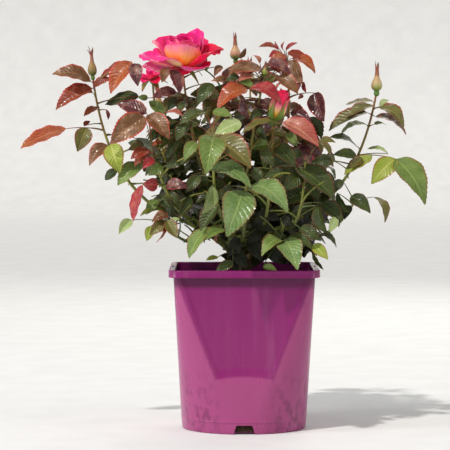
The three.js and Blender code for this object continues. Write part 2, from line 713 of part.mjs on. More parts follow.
// The leaves of one shoot: the aimed ones, then those that the seeded rule draws.
function leavesOf(limb, curve) {
  const leaves = limb.aimed.map((leaf) => compoundLeaf({
    node: curve.getPointAt(leaf.at),
    hinge: vector(leaf.hinge),
    tip: vector(leaf.tip),
    blades: leaf.blades,
    roll: leaf.roll,
  }));
  const draw = seededDraw(limb.seed);
  const spread = () => 2 * draw() - 1;
  for (let i = 0; i < limb.leaves; i++) {
    const rise = (i + 0.5) / limb.leaves;
    const size = THREE.MathUtils.lerp(1, TOP_LEAF_SHARE, rise) * (1 + 0.12 * spread());
    const node = curve.getPointAt(THREE.MathUtils.lerp(FIRST_LEAF_AT, LAST_LEAF_AT, rise));
    const turn = degrees(limb.turn + i * LEAF_TURN + LEAF_TURN_SPREAD * spread());
    const climb = degrees(STALK_CLIMB + STALK_CLIMB_SPREAD * spread());
    const droop = degrees(BLADE_CLIMB + BLADE_CLIMB_SPREAD * spread());
    const outward = new THREE.Vector3(Math.cos(turn), Math.sin(turn), 0);
    const step = (angle, length) => outward.clone().multiplyScalar(Math.cos(angle))
      .addScaledVector(UP, Math.sin(angle)).multiplyScalar(length * size);
    const hinge = node.clone().add(step(climb, STALK_LENGTH));
    const tip = hinge.clone().add(step(droop, BLADE_LENGTH));
    const blades = rise > 0.75 ? 3 : 5;
    const leaf = compoundLeaf({ node, hinge, tip, blades, roll: ROLL_SPREAD * spread() });
    leaves.push(leafInCrown(leaf));
  }
  return leaves;
}

// True inside the crown's outline.
function isInCrown(point) {
  const above = CROWN_EDGES.findIndex(([height]) => height > point.z);
  if (above < 1) {
    return false;
  }
  const [low, high] = [CROWN_EDGES[above - 1], CROWN_EDGES[above]];
  const share = (point.z - low[0]) / (high[0] - low[0]);
  const [left, right] = [1, 2].map((i) => THREE.MathUtils.lerp(low[i], high[i], share));
  return left < point.x && point.x < right;
}

// The leaf without the blades that would reach out of the crown.
function leafInCrown(leaf) {
  const keep = (blade) => {
    const middle = blade.root.clone().lerp(blade.tip, 0.5);
    return isInCrown(middle) && isInCrown(blade.tip) ? blade : null;
  };
  const pairs = leaf.pairs.map(({ at, right, left }) => (
    { at, right: keep(right), left: keep(left) }
  ));
  return { ...leaf, end: keep(leaf.end), pairs };
}

// A bud or bloom turned from its profile, its foot sunk into the end of the shoot.
function flowerSolid(limb) {
  const kind = FLOWER_KINDS[limb.flower];
  const profile = kind.profile.map(([radius, height]) => (
    new THREE.Vector2(radius * kind.radius, height * kind.height)
  ));
  profile.unshift(new THREE.Vector2(0, 0));
  profile.push(new THREE.Vector2(0, kind.height));
  const geometry = new THREE.LatheGeometry(profile, kind.sides);
  const turn = new THREE.Quaternion();
  turn.setFromUnitVectors(new THREE.Vector3(0, 1, 0), vector(limb.axis).normalize());
  geometry.applyQuaternion(turn);
  const sunk = vector(limb.axis).normalize().multiplyScalar(-1.5);
  geometry.translate(...vector(limb.end).add(sunk));
  return solidOf(geometry);
}

// Drops each blade that would touch another solid, its own shoot or a blade placed before it.
function clearBlades(leaf, obstacles) {
  const placed = [];
  const keep = (blade) => {
    if (!blade) {
      return null;
    }
    const guard = bladeGuard(blade);
    const touches = [...obstacles, ...placed].some((solid) => !guard.intersect(solid).isEmpty());
    if (touches) {
      return null;
    }
    placed.push(guard);
    return blade;
  };
  const end = keep(leaf.end);
  const pairs = leaf.pairs.toReversed().map(({ at, right, left }) => (
    { at, right: keep(right), left: keep(left) }
  ));
  return { ...leaf, end, pairs: pairs.filter(({ right, left }) => right || left).reverse() };
}

// True where a join has left an edge too short to keep.
function hasSliver(solid) {
  const { vertProperties, triVerts } = solid.getMesh();
  const corner = (i) => new THREE.Vector3().fromArray(vertProperties, 3 * triVerts[i]);
  for (let i = 0; i < triVerts.length; i++) {
    const next = i % 3 === 2 ? i - 2 : i + 1;
    if (corner(i).distanceTo(corner(next)) < SHORTEST_EDGE) {
      return true;
    }
  }
  return false;
}

// A shoot's stem with its flower, before its leaves.
function bareShoot(limb, curve) {
  const stem = solidOf(limbGeometry(
    curve, SHOOT_FOOT_RADIUS, SHOOT_TIP_RADIUS, SHOOT_SIDES, SHOOT_STEPS,
  ));
  return limb.flower ? stem.add(flowerSolid(limb)) : stem;
}

// The shoot with every leaf that keeps clear of all that is already there.
function leafyShoot(limb, curve, bare, others) {
  let mass = bare;
  for (const leaf of leavesOf(limb, curve).map(soundLeaf).filter(Boolean)) {
    const stalkGuard = solidOf(limbGeometry(
      leaf.stalk, STALK_FOOT_RADIUS + STALK_GUARD, STALK_TIP_RADIUS + STALK_GUARD, GUARD_SIDES, 2,
    ));
    const clear = clearBlades(leaf, [others, mass]);
    const whole = leafSolid(clear);
    const fits = stalkGuard.add(whole).intersect(others).isEmpty();
    const grown = mass.add(whole);
    if (fits && (clear.end || clear.pairs.length > 0) && !hasSliver(grown)) {
      mass = grown;
    }
  }
  return largestPiece(mass);
}

const rose = new THREE.Group();

function addPiece(name, solid, color, roughness, metalness = 0) {
  const material = new THREE.MeshStandardMaterial({ color, roughness, metalness });
  const mesh = new THREE.Mesh(geometryOf(solid), material);
  mesh.name = name;
  rose.add(mesh);
}

const pot = potSolid();
const soil = soilSolid();
const stem = solidOf(stemGeometry(0));
addPiece('pot', pot, 0x8e2a6c, 0.35);
addPiece('soil', soil, 0x2a1d16, 0.95);
addPiece('graft_stem', stem, 0x5c4632, 0.8);

// Each cane is cut clear of the stem and of the canes before it.
let guard = solidOf(stemGeometry(CLEAR));
let taken = pot.add(soil).add(stem);
const curves = {};
for (const limb of LIMBS) {
  const curve = caneCurve(limb, curves);
  const share = limb.from ? 0.8 : 1;
  const cane = (margin) => solidOf(limbGeometry(
    curve, CANE_FOOT_RADIUS * share + margin, CANE_TIP_RADIUS * share + margin, CANE_SIDES, CANE_STEPS,
  ));
  const solid = largestPiece(cane(0).subtract(guard));
  guard = guard.add(cane(CLEAR));
  taken = taken.add(solid);
  curves[limb.name] = curve;
  addPiece(`${limb.name}_cane`, solid, 0x6b7a3a, 0.6);
}

const shoots = new Map(LIMBS.map((limb) => (
  [limb, bareShoot(limb, shootCurve(limb, curves[limb.name]))]
)));
for (const limb of LIMBS) {
  const bare = shoots.get(limb);
  shoots.delete(limb);
  const others = [...shoots.values()].reduce((all, shoot) => all.add(shoot), taken);
  const solid = leafyShoot(limb, shootCurve(limb, curves[limb.name]), bare, others);
  taken = taken.add(solid);
  addPiece(`${limb.name}_shoot`, solid, 0x4c6b3a, 0.45);
}

export default rose;
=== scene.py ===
# %% [markdown]
# # A potted rose bush
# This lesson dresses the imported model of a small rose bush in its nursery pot. The model
# gives the place of the pot, the soil, the stem, the canes and the leafy shoots. Here each
# of them gets its real surface: thin moulded plastic, crumbs of potting mix, bark, thin
# toothed leaves, and petals. Lengths are worked out in millimetres and turned into metres
# when a piece is finished.

# %% Load the frame
import json
import math
from collections import namedtuple
import bmesh
import bpy
import numpy as np
from mathutils import Matrix, Vector, noise

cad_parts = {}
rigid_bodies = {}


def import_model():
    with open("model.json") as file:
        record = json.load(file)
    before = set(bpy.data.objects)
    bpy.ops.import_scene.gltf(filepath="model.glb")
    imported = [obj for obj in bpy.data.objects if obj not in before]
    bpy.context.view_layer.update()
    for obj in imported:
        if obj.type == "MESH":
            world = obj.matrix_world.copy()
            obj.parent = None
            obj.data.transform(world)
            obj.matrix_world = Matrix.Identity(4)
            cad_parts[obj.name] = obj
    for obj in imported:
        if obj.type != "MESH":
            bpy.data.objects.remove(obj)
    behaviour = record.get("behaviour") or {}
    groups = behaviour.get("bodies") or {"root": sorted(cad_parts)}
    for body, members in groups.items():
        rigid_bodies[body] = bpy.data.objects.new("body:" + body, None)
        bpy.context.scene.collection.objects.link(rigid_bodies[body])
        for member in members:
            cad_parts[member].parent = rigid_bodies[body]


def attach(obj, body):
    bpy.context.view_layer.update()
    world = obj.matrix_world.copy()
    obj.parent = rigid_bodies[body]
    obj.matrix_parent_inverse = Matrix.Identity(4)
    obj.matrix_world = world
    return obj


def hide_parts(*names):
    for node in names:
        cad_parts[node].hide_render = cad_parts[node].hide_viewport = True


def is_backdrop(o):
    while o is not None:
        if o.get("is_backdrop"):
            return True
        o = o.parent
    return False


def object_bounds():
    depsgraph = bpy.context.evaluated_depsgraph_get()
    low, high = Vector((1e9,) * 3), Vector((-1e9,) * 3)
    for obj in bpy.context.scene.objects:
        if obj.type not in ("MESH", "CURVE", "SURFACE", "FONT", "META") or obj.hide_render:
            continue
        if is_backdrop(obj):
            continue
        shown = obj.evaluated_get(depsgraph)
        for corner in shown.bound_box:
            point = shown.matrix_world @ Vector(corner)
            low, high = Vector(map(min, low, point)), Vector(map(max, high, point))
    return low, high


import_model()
cad_box = [list(corner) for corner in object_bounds()]
MM = 0.001
FULL_TURN = 2 * math.pi
UP = Vector((0, 0, 1))


def mix_of(first, second, share):
    return first + (second - first) * share


def rounded(box):
    return [[round(value, 4) for value in corner] for corner in box]


print("CAD box:", rounded(cad_box))

# %% [markdown]
# ## Camera
# The picture was taken from about three metres away with a long lens, a little above the
# middle of the bush. A long lens far away keeps the square rim almost flat, and the small
# tilt shows a sliver of the inside of the pot. The lens follows from how many pixels the
# 200 mm rim covers.

# %% Set the camera
CAMERA_PLACE = (-0.0255, -3.1, 0.41)
CAMERA_TILT = math.radians(90 - 2.52)
PICTURE_WIDTH = 450
FOCAL_PIXELS = 2295

camera_data = bpy.data.cameras.new("camera")
camera_data.sensor_width = 36
camera_data.lens = FOCAL_PIXELS / PICTURE_WIDTH * camera_data.sensor_width
camera_data.clip_end = 50
camera = bpy.data.objects.new("camera", camera_data)
camera.location = CAMERA_PLACE
camera.rotation_euler = (CAMERA_TILT, 0, 0)
bpy.context.scene.collection.objects.link(camera)
bpy.context.scene.camera = camera
print("lens", round(camera_data.lens, 1), "mm")

# %% [markdown]
# ## Light
# The bush stood in clear daylight that came from the upper left in front. A sun lamp a few
# degrees wide gives the same crisp but soft-edged shade under the rim, and a pale world
# fills the shadows the way an open sky does. Two tall soft boxes at the sides draw the long
# pale sheen on the pot's rounded corners, and a third one behind lights the rims of the
# leaves. The view is set to standard, because the default filmic view would wash out the
# hot pink of the petals.

# %% Hang the lamps
SUN_WAY = (0.42, 0.62, -1.0)
SOFT_BOXES = {
    # place, what it points at, width, height, watts, colour
    "left box": ((-2.2, -0.9, 0.9), (0, 0, 0.2), 0.8, 2.0, 34, (0.93, 0.96, 1.0)),
    "right box": ((2.1, -1.1, 0.8), (0, 0, 0.2), 0.5, 1.8, 12, (1.0, 0.97, 0.94)),
    "back box": ((0.6, 2.2, 1.6), (0, 0, 0.4), 1.6, 1.0, 16, (1.0, 0.98, 0.9)),
}


def hang_lamp(name, kind, place, way, strength, color, **form):
    data = bpy.data.lights.new(name, kind)
    data.energy = strength
    data.color = color
    for key, value in form.items():
        setattr(data, key, value)
    lamp = bpy.data.objects.new(name, data)
    lamp.location = place
    lamp.rotation_euler = Vector(way).to_track_quat("-Z", "Y").to_euler()
    bpy.context.scene.collection.objects.link(lamp)


hang_lamp("daylight", "SUN", (0, 0, 0), SUN_WAY, 2.2, (1.0, 0.96, 0.9), angle=math.radians(2.5))
for name, (place, target, width, height, watts, color) in SOFT_BOXES.items():
    hang_lamp(name, "AREA", place, Vector(target) - Vector(place), watts, color,
              shape="RECTANGLE", size=width, size_y=height)

world = bpy.data.worlds.new("pale world")
world.use_nodes = True
sky = world.node_tree.nodes["Background"].inputs
sky["Color"].default_value = (0.88, 0.9, 0.9, 1)
sky["Strength"].default_value = 0.38
bpy.context.scene.world = world
bpy.context.scene.view_settings.view_transform = "Standard"
print("lamps:", [o.name for o in bpy.context.scene.objects if o.type == "LIGHT"])

# %% [markdown]
# ## A maker of finishes
# Every finish here is a node material. This class saves typing: each of its methods adds a
# node, wires or sets its inputs and hands back its output. Patterns read Object coordinates,
# so they stay fixed on the piece, or the piece's own UV map where they follow a leaf or a
# petal. A colour is written as a grey number or as the hex value it has on a screen.

# %% The finish class
def color_of(value):
    """The linear values that a shader takes, from a grey number or a screen colour."""
    if not isinstance(value, str):
        return (value, value, value, 1)
    parts = [int(value[i:i + 2], 16) / 255 for i in (0, 2, 4)]
    return (*(p / 12.92 if p <= 0.04045 else ((p + 0.055) / 1.055) ** 2.4 for p in parts), 1)


class Finish:
    def __init__(self, name, roughness, specular):
        self.material = bpy.data.materials.new(name)
        self.material.use_nodes = True
        self.shader = self.material.node_tree.nodes["Principled BSDF"].inputs
        self.set_shader({"Roughness": roughness, "Specular IOR Level": specular})

    def set_shader(self, values):
        for socket, value in values.items():
            self.shader[socket].default_value = value

    def wire(self, start, end):
        self.material.node_tree.links.new(start, end)

    def add(self, kind, inputs, **settings):
        node = self.material.node_tree.nodes.new(kind)
        for key, setting in settings.items():
            setattr(node, key, setting)
        for socket, value in inputs.items():
            if isinstance(value, bpy.types.NodeSocket):
                self.wire(value, node.inputs[socket])
            else:
                node.inputs[socket].default_value = color_of(value) if isinstance(value, str) else value
        return node.outputs

    def place(self):
        return self.add("ShaderNodeTexCoord", {})["Object"]

    def own_uv(self):
        return self.add("ShaderNodeUVMap", {}, uv_map="UVMap")["UV"]

    def axes(self, vector):
        return self.add("ShaderNodeSeparateXYZ", {0: vector})

    def stretched(self, place, scale):
        return self.add("ShaderNodeMapping", {"Scale": scale, "Vector": place})["Vector"]

    def noise(self, place, scale, detail=4.0):
        return self.add("ShaderNodeTexNoise", {"Scale": scale, "Detail": detail, "Vector": place})["Fac"]

    def maths(self, operation, *values):
        return self.add("ShaderNodeMath", dict(enumerate(values)), operation=operation)[0]

    def from_middle(self, value):
        return self.maths("ABSOLUTE", self.maths("SUBTRACT", value, 0.5))

    def blend(self, share, first, second, kind="MIX"):
        inputs = {0: share, 6: first, 7: second}
        return self.add("ShaderNodeMix", inputs, data_type="RGBA", blend_type=kind)[2]

    def times(self, first, second):
        return self.blend(1.0, first, second, "MULTIPLY")

    def ramp(self, value, *stops):
        """Turns a value into a colour: each stop is a position and its colour."""
        node = self.material.node_tree.nodes.new("ShaderNodeValToRGB")
        elements = node.color_ramp.elements
        while len(elements) < len(stops):
            elements.new(0.5)
        for element, (position, color) in zip(elements, stops):
            element.position = position
            element.color = color_of(color)
        self.wire(value, node.inputs["Fac"])
        return node.outputs["Color"]

    def cover(self, color, height, strength, depth):
        """Gives the shader its colour and its relief, whose depth is in metres."""
        self.wire(color, self.shader["Base Color"])
        bump = self.add("ShaderNodeBump", {"Strength": strength, "Distance": depth, "Height": height})
        self.wire(bump["Normal"], self.shader["Normal"])
        return self.material


print("finish class ready")

# %% [markdown]
# ## Finishing a piece
# Each piece is made in millimetres with bmesh operators. One helper turns it into an object
# in metres that sits at the origin. Edges that meet at a steep angle stay crisp, all others
# are smooth. A second one lets the piece ride on the plant's only body, gives it its
# finishes and hides the parts of the model that it replaces.

# %% Finish a piece
def new_object(bm, name, crisp=None):
    """crisp: the angle in degrees from which an edge stays sharp; without it all faces are flat."""
    bmesh.ops.scale(bm, vec=(MM, MM, MM), verts=bm.verts)
    if crisp is not None:
        for face in bm.faces:
            face.smooth = True
        for edge in bm.edges:
            if len(edge.link_faces) == 2 and edge.calc_face_angle(0) > math.radians(crisp):
                edge.smooth = False
    mesh = bpy.data.meshes.new(name)
    bm.to_mesh(mesh)
    bm.free()
    made = bpy.data.objects.new(name, mesh)
    bpy.context.scene.collection.objects.link(made)
    return made


def finish_piece(bm, name, materials, crisp=60, replaces=()):
    piece = new_object(bm, name, crisp)
    for material in materials:
        piece.data.materials.append(material)
    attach(piece, "root")
    if replaces:
        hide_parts(*replaces)
    triangles = sum(len(polygon.vertices) - 2 for polygon in piece.data.polygons)
    print(f"{name}: {triangles} triangles")
    return piece


def extruded(bm, edges):
    """Extrudes a run of edges and gives back its new edges and points."""
    grown = bmesh.ops.extrude_edge_only(bm, edges=edges)["geom"]
    new_edges = [item for item in grown if isinstance(item, bmesh.types.BMEdge)]
    return new_edges, [item for item in grown if isinstance(item, bmesh.types.BMVert)]


# %% [markdown]
# ## Floor
# A pale sweep: a level board that bends up into a plain backdrop far behind the plant. One
# bent sheet hides the line between floor and wall, which is how a studio does it.

# %% Lay the floor
FLOOR_FRONT, WALL_END, FLOOR_HALF_WIDTH = -7000, 13000, 10000
BEND_START, BEND_RADIUS, FLOOR_DROP = 7000, 1500, -0.2

bm = bmesh.new()
bmesh.ops.create_grid(bm, x_segments=1, y_segments=80, size=1)
for vert in bm.verts:
    run = mix_of(FLOOR_FRONT, WALL_END, (vert.co.y + 1) / 2)
    rise = max(0.0, run - BEND_START)
    bend = min(rise / BEND_RADIUS, math.pi / 2)
    vert.co.x *= FLOOR_HALF_WIDTH
    vert.co.y = min(run, BEND_START + BEND_RADIUS * math.sin(bend))
    vert.co.z = FLOOR_DROP + BEND_RADIUS * (1 - math.cos(bend)) + max(0.0, rise - BEND_RADIUS * math.pi / 2)
floor = new_object(bm, "floor", 180)
skin = Finish("pale floor", 0.75, 0.2)
skin.wire(skin.ramp(skin.noise(skin.place(), 14), (0.3, 0.74), (0.7, 0.79)), skin.shader["Base Color"])
floor.data.materials.append(skin.material)
floor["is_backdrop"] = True
print("floor laid")

# %% [markdown]
# ## Pot
# The pot is moulded in one shot: a round foot grows into a square top with tight corners,
# each side has a flat panel that is set back by less than a millimetre, and a lip turns down
# round the top. Because every level of the wall has the same number of columns, the wall can
# be one ring of points that is extruded upwards level by level. The twelfth column either
# side of a side's middle always lies on the panel's edge, so that edge is crisp without any
# cutting, and the same columns run down to the drain notch.

# %% Shape of the wall
POT_HEIGHT = 218
BASE_RADIUS = 84
TOP_HALF_WIDTH = 93.5
TOP_CORNER = 10.5
FOOT_STRAIGHT = 0.5
WALL = 1.8
FLOOR_THICKNESS = 3
RIM_HALF_WIDTH = 100
RIM_CORNER = 18
RIM_DEPTH = 10
RIM_PANEL_HALF = 60
UNDER_RIM = POT_HEIGHT - RIM_DEPTH
PANEL_FOOT = 80
PANEL_FLARE = 3
PANEL_ARCH = 5
PANEL_ARCH_FADE = 55
PANEL_RECESS = 0.9
PANEL_BAND = 1.4
PANEL_COLUMNS = 12
SIDE_COLUMNS = 24
NOTCH_HEIGHT = 12
NOTCH_TOP = 10.5
NOTCH_FOOT = 14.5
SEAM_HEIGHT = 15.5
EIGHTH_TURN = math.pi / 4


def on_round_square(distance, straight, corner):
    """A point of a square with round corners, this far round from the middle of a side."""
    if distance <= straight:
        return Vector((distance, -(straight + corner), 0))
    angle = min((distance - straight) / corner, EIGHTH_TURN)
    return Vector((straight + corner * math.sin(angle), -(straight + corner * math.cos(angle)), 0))


def side_point(column, straight, corner, inset, panel_half, z):
    """Column 0 is a side's middle and SIDE_COLUMNS its corner; the next side is a quarter turn on."""
    side = (column + SIDE_COLUMNS) // (2 * SIDE_COLUMNS)
    offset = column - side * 2 * SIDE_COLUMNS
    steps = abs(offset)
    full = straight + EIGHTH_TURN * corner
    if steps <= PANEL_COLUMNS:
        distance = panel_half * steps / PANEL_COLUMNS
    else:
        rest = (steps - PANEL_COLUMNS - 1) / (SIDE_COLUMNS - PANEL_COLUMNS - 1)
        distance = mix_of(panel_half + PANEL_BAND, full, rest)
    point = on_round_square(distance * (full - EIGHTH_TURN * inset) / full, straight, corner - inset)
    if offset < 0:
        point.x = -point.x
    point.z = z
    return Matrix.Rotation(side * math.pi / 2, 3, "Z") @ point


def wall_straight(z):
    return mix_of(FOOT_STRAIGHT, TOP_HALF_WIDTH - TOP_CORNER, z / UNDER_RIM)


def panel_half_width(z):
    if z <= NOTCH_HEIGHT:
        return mix_of(NOTCH_FOOT, NOTCH_TOP, z / NOTCH_HEIGHT)
    if z <= PANEL_FOOT:
        rise = (z - NOTCH_HEIGHT) / (PANEL_FOOT - NOTCH_HEIGHT)
        return mix_of(NOTCH_TOP, wall_straight(PANEL_FOOT) + PANEL_FLARE, rise)
    return wall_straight(z) + PANEL_FLARE * (UNDER_RIM - z) / (UNDER_RIM - PANEL_FOOT)


def wall_point(column, z, inset=0.0, recess=0.0):
    steps = abs((column + SIDE_COLUMNS) % (2 * SIDE_COLUMNS) - SIDE_COLUMNS)
    inside = steps <= PANEL_COLUMNS
    arch = PANEL_ARCH * (1 - (steps / PANEL_COLUMNS) ** 2) if inside else 0
    near = max(0.0, 1 - abs(z - PANEL_FOOT) / PANEL_ARCH_FADE)
    corner = mix_of(BASE_RADIUS - FOOT_STRAIGHT, TOP_CORNER, z / UNDER_RIM)
    pulled = inset + (recess if inside else 0.0)
    return side_point(column, wall_straight(z), corner, pulled, panel_half_width(z), z + arch * near)


def rim_point(column, z, inset):
    return side_point(column, RIM_HALF_WIDTH - RIM_CORNER, RIM_CORNER, inset, RIM_PANEL_HALF, z)


print("panel half width at its foot", round(panel_half_width(PANEL_FOOT), 1), "mm")

# %% [markdown]
# The outer wall, the hollow lip, the inner wall and the floor are one closed skin, made by
# extruding the same ring again and again, the way a lathe tool follows a section. Small
# steps at the foot, the seam and the lip's edges stand for the rounding that a mould leaves.
# A level is the helper that places its points, a height and how far it is set in.

# %% Extrude the skin of the pot
FOOT_LEVELS = [(0.0, 1.2), (0.5, 0.3), (1.4, 0), (8, 0), (NOTCH_HEIGHT, 0), (SEAM_HEIGHT - 0.5, 0),
               (SEAM_HEIGHT, -0.35), (SEAM_HEIGHT + 0.6, -0.1), (22, 0), (34, 0), (48, 0), (62, 0),
               (PANEL_FOOT - 1.6, 0)]
PANEL_STEPS = 16
LIP_LEVELS = [(UNDER_RIM + RIM_DEPTH - WALL - 0.4, WALL + 0.2), (UNDER_RIM + 0.3, WALL), (UNDER_RIM, 1.3),
              (UNDER_RIM + 0.1, 0.5), (UNDER_RIM + 0.8, 0), (UNDER_RIM + 3, 0.1), (POT_HEIGHT - 3, 0.1),
              (POT_HEIGHT - 1, 0), (POT_HEIGHT - 0.3, 0.5), (POT_HEIGHT, 1.4), (POT_HEIGHT - 0.3, 4)]
INSIDE_LEVELS = [(POT_HEIGHT - 0.3, WALL * 0.4), (POT_HEIGHT - 1.6, WALL), (190, WALL), (150, WALL),
                 (100, WALL), (50, WALL), (FLOOR_THICKNESS, WALL)]


def lofted(spacing, levels):
    """A closed skin with every column of the wall, or every second one, from level to level."""
    bm = bmesh.new()
    bmesh.ops.create_circle(bm, segments=8 * SIDE_COLUMNS // spacing, radius=1)
    column = bm.verts.layers.int.new("column")
    for index, vert in enumerate(sorted(bm.verts, key=lambda v: math.atan2(v.co.y, v.co.x))):
        vert[column] = spacing * index - 2 * SIDE_COLUMNS
    edges, verts = list(bm.edges), list(bm.verts)
    for number, (placed, *values) in enumerate(levels):
        if number:
            edges, verts = extruded(bm, edges)
        for vert in verts:
            vert.co = placed(vert[column], *values)
        if number in (0, len(levels) - 1):
            bmesh.ops.edgeloop_fill(bm, edges=edges)
    bmesh.ops.recalc_face_normals(bm, faces=bm.faces)
    return bm


panel_heights = [mix_of(PANEL_FOOT, UNDER_RIM - 1, step / PANEL_STEPS) for step in range(PANEL_STEPS + 1)]
levels = [(wall_point, z, inset) for z, inset in FOOT_LEVELS]
levels += [(wall_point, z, 0, PANEL_RECESS) for z in panel_heights]
levels.append((wall_point, UNDER_RIM + 6, 0))
levels += [(rim_point, z, inset) for z, inset in LIP_LEVELS]
levels += [(wall_point, z, inset) for z, inset in INSIDE_LEVELS]
pot = finish_piece(lofted(1, levels), "moulded_pot", [], crisp=35, replaces=["pot"])

# %% [markdown]
# Four drain notches are cut through the foot. A boolean modifier with a small wedge for each
# side is the simple way, since the wedge is the very shape of the tool in the mould. Two
# slots in the lip are cut the same way. The cutters are removed afterwards.

# %% Cut the notches and slots
NOTCH = [(-NOTCH_FOOT, -90, -1), (NOTCH_FOOT, -90, -1), (NOTCH_TOP, -90, NOTCH_HEIGHT),
         (-NOTCH_TOP, -90, NOTCH_HEIGHT)]
SLOT = [(-14, -96.8, 210), (14, -96.8, 210), (14, -94.8, 210), (-14, -94.8, 210)]


def wedge(corners, depth, side):
    bm = bmesh.new()
    face = bm.faces.new([bm.verts.new(corner) for corner in corners])
    grown = bmesh.ops.extrude_face_region(bm, geom=[face])["geom"]
    moved = [item for item in grown if isinstance(item, bmesh.types.BMVert)]
    bmesh.ops.translate(bm, vec=depth, verts=moved)
    bmesh.ops.rotate(bm, matrix=Matrix.Rotation(side * math.pi / 2, 3, "Z"), verts=bm.verts)
    bmesh.ops.recalc_face_normals(bm, faces=bm.faces)
    return new_object(bm, "cutter")


def cut_away(piece, cutters):
    for cutter in cutters:
        modifier = piece.modifiers.new("cut", "BOOLEAN")
        modifier.operation = "DIFFERENCE"
        modifier.solver = "EXACT"
        modifier.object = cutter
    graph = bpy.context.evaluated_depsgraph_get()
    cut = bpy.data.meshes.new_from_object(piece.evaluated_get(graph))
    piece.modifiers.clear()
    piece.data = cut
    for cutter in cutters:
        bpy.data.objects.remove(cutter)


cutters = [wedge(NOTCH, (0, 16, 0), side) for side in range(4)]
cutters += [wedge(SLOT, (0, 0, 20), side) for side in (1, 3)]
cut_away(pot, cutters)
print("pot faces after cutting:", len(pot.data.polygons))

# %% [markdown]
# The plastic is a deep magenta that shines like polished toffee. Handling and rain leave
# faint upright streaks, pale scuffs and specks of dried mix near the foot. Lower down the
# plastic turns more lilac, partly from a dust layer and partly from a painted reflection.
# Noise stretched along the height gives the streaks, small cells give the specks, and the
# height itself gives the lilac. Each side has a flat panel that narrows downwards; the round
# corners and the foot around it are painted lighter lilac as a painted reflection, so the
# plastic inside the panel stays deeper, which the distance to the panel's edge lines tells
# apart. Painted shade darkens the band under the lip and the top of the inner wall, and dark
# smudges of dirt mark the corners of the foot.

# %% Finish of the pot
# the deeper panel in metres, outside which a painted reflection lightens the plastic: its
# lowest height, how its lower edge arches, how it widens upwards, and its half width at the ground
FACET_BOTTOM = 0.0755
FACET_ARC = 3.1
FACET_SPREAD = 0.39
FACET_HALF_WIDTH = 0.0117

skin = Finish("magenta plastic", 0.26, 0.34)
place = skin.place()
streaks = skin.noise(skin.stretched(place, (60, 60, 5)), 1.0, 6)
clouds = skin.noise(place, 16, 5)
east, north, height = skin.axes(place)
east, north = (skin.maths("ABSOLUTE", axis) for axis in (east, north))
off_centre = skin.maths("MINIMUM", east, north)
half_width = skin.maths("MULTIPLY_ADD", height, FACET_SPREAD, FACET_HALF_WIDTH)
inside = skin.maths("SUBTRACT", half_width, off_centre)
arc = skin.maths("MULTIPLY", skin.maths("POWER", off_centre, 2.0), FACET_ARC)
above = skin.maths("SUBTRACT", skin.maths("ADD", height, arc), FACET_BOTTOM)
# the round corners and the foot outside the panel: painted lighter lilac, a painted reflection
painted_reflection_outside_panel = skin.ramp(skin.maths("MINIMUM", inside, above), (0.0, 0.78), (0.0016, 0.0))
# lighter lilac towards the foot: partly a dust layer, partly a painted reflection
dust_and_painted_reflection = skin.ramp(height, (0.0, 0.3), (0.07, 0.14), (0.2, 0.02))
dust_and_painted_reflection = skin.times(dust_and_painted_reflection, skin.ramp(clouds, (0.3, 0.6), (0.75, 1.5)))
plastic = skin.blend(skin.maths("MAXIMUM", dust_and_painted_reflection, painted_reflection_outside_panel), "7e1460", "a64a7c")
plastic = skin.blend(skin.ramp(streaks, (0.42, 0.0), (0.62, 0.05), (0.75, 0.22)), plastic, "a8668c")
cells = skin.add("ShaderNodeTexVoronoi", {"Scale": 160, "Vector": place})["Distance"]
speck = skin.times(skin.ramp(cells, (0.06, 1.0), (0.12, 0.0)), skin.ramp(height, (0.01, 0.8), (0.12, 0.0)))
speck = skin.times(speck, skin.ramp(skin.noise(place, 30, 2), (0.55, 0.0), (0.62, 1.0)))
plastic = skin.blend(speck, plastic, "4a2a30")
low_corner = skin.ramp(off_centre, (0.026, 0.05), (0.05, 1.0))
low_corner = skin.times(skin.ramp(height, (0.02, 0.5), (0.1, 0.0)), low_corner)
blots = skin.noise(skin.stretched(place, (110, 110, 60)), 1.0, 8)
smudge = skin.times(skin.ramp(blots, (0.5, 0.0), (0.58, 1.0)), low_corner)
plastic = skin.blend(smudge, plastic, "5a2044")
# painted shade: the band under the lip and the top of the inner wall turn near black
recess = skin.ramp(skin.maths("MAXIMUM", east, north), (0.0952, 0.75), (0.0966, 0.0))
painted_lip_shade = skin.times(recess, skin.ramp(height, (0.191, 0.0), (0.1985, 1.0)))
plastic = skin.blend(painted_lip_shade, plastic, "4c0438")
rough = skin.ramp(skin.blend(0.5, clouds, streaks), (0.3, 0.14), (0.7, 0.36))
skin.wire(rough, skin.shader["Roughness"])
ripple = skin.noise(skin.stretched(place, (30, 30, 9)), 1.0, 3)
pot.data.materials.append(skin.cover(plastic, ripple, 0.12, 0.002))
print("nodes in the plastic:", len(skin.material.node_tree.nodes))

# %% [markdown]
# ## Potting mix
# The mix is a rough bed of dark peat, bark chips and a few pale grains. The wall's own ring,
# with every second column, is drawn in to the middle step by step and lifted by noise, and a
# few hundred crumbs, each a small irregular stone of twenty faces, lie on it. Their places
# come from a seeded draw, so each run gives the same bed.

# %% Draw and spread the mix
SOIL_TOP = 196
SOIL_RINGS = 34
SOIL_REACH = 0.985
BED_BUMPS, FINE_BUMPS = 2.2, 1.2
CRUMBS = 520
CRUMB_SEED = 2027
CRUMB_NEAREST, CRUMB_SPREAD = 20, 66
CRUMB_LEAST, CRUMB_GROWTH = 1.2, 2.6
CRUMB_DEPTH = 0.4
DRAW_FACTOR, DRAW_LIMIT = 16807, 2147483647
# a whole turn, as the draws of angles round it
ALL_ROUND = 6.28


def seeded_draw(seed):
    """The source's own draw: numbers from 0 to 1 that are the same for the same seed."""
    state = seed

    def draw():
        nonlocal state
        state = (state * DRAW_FACTOR) % DRAW_LIMIT
        return state / DRAW_LIMIT
    return draw


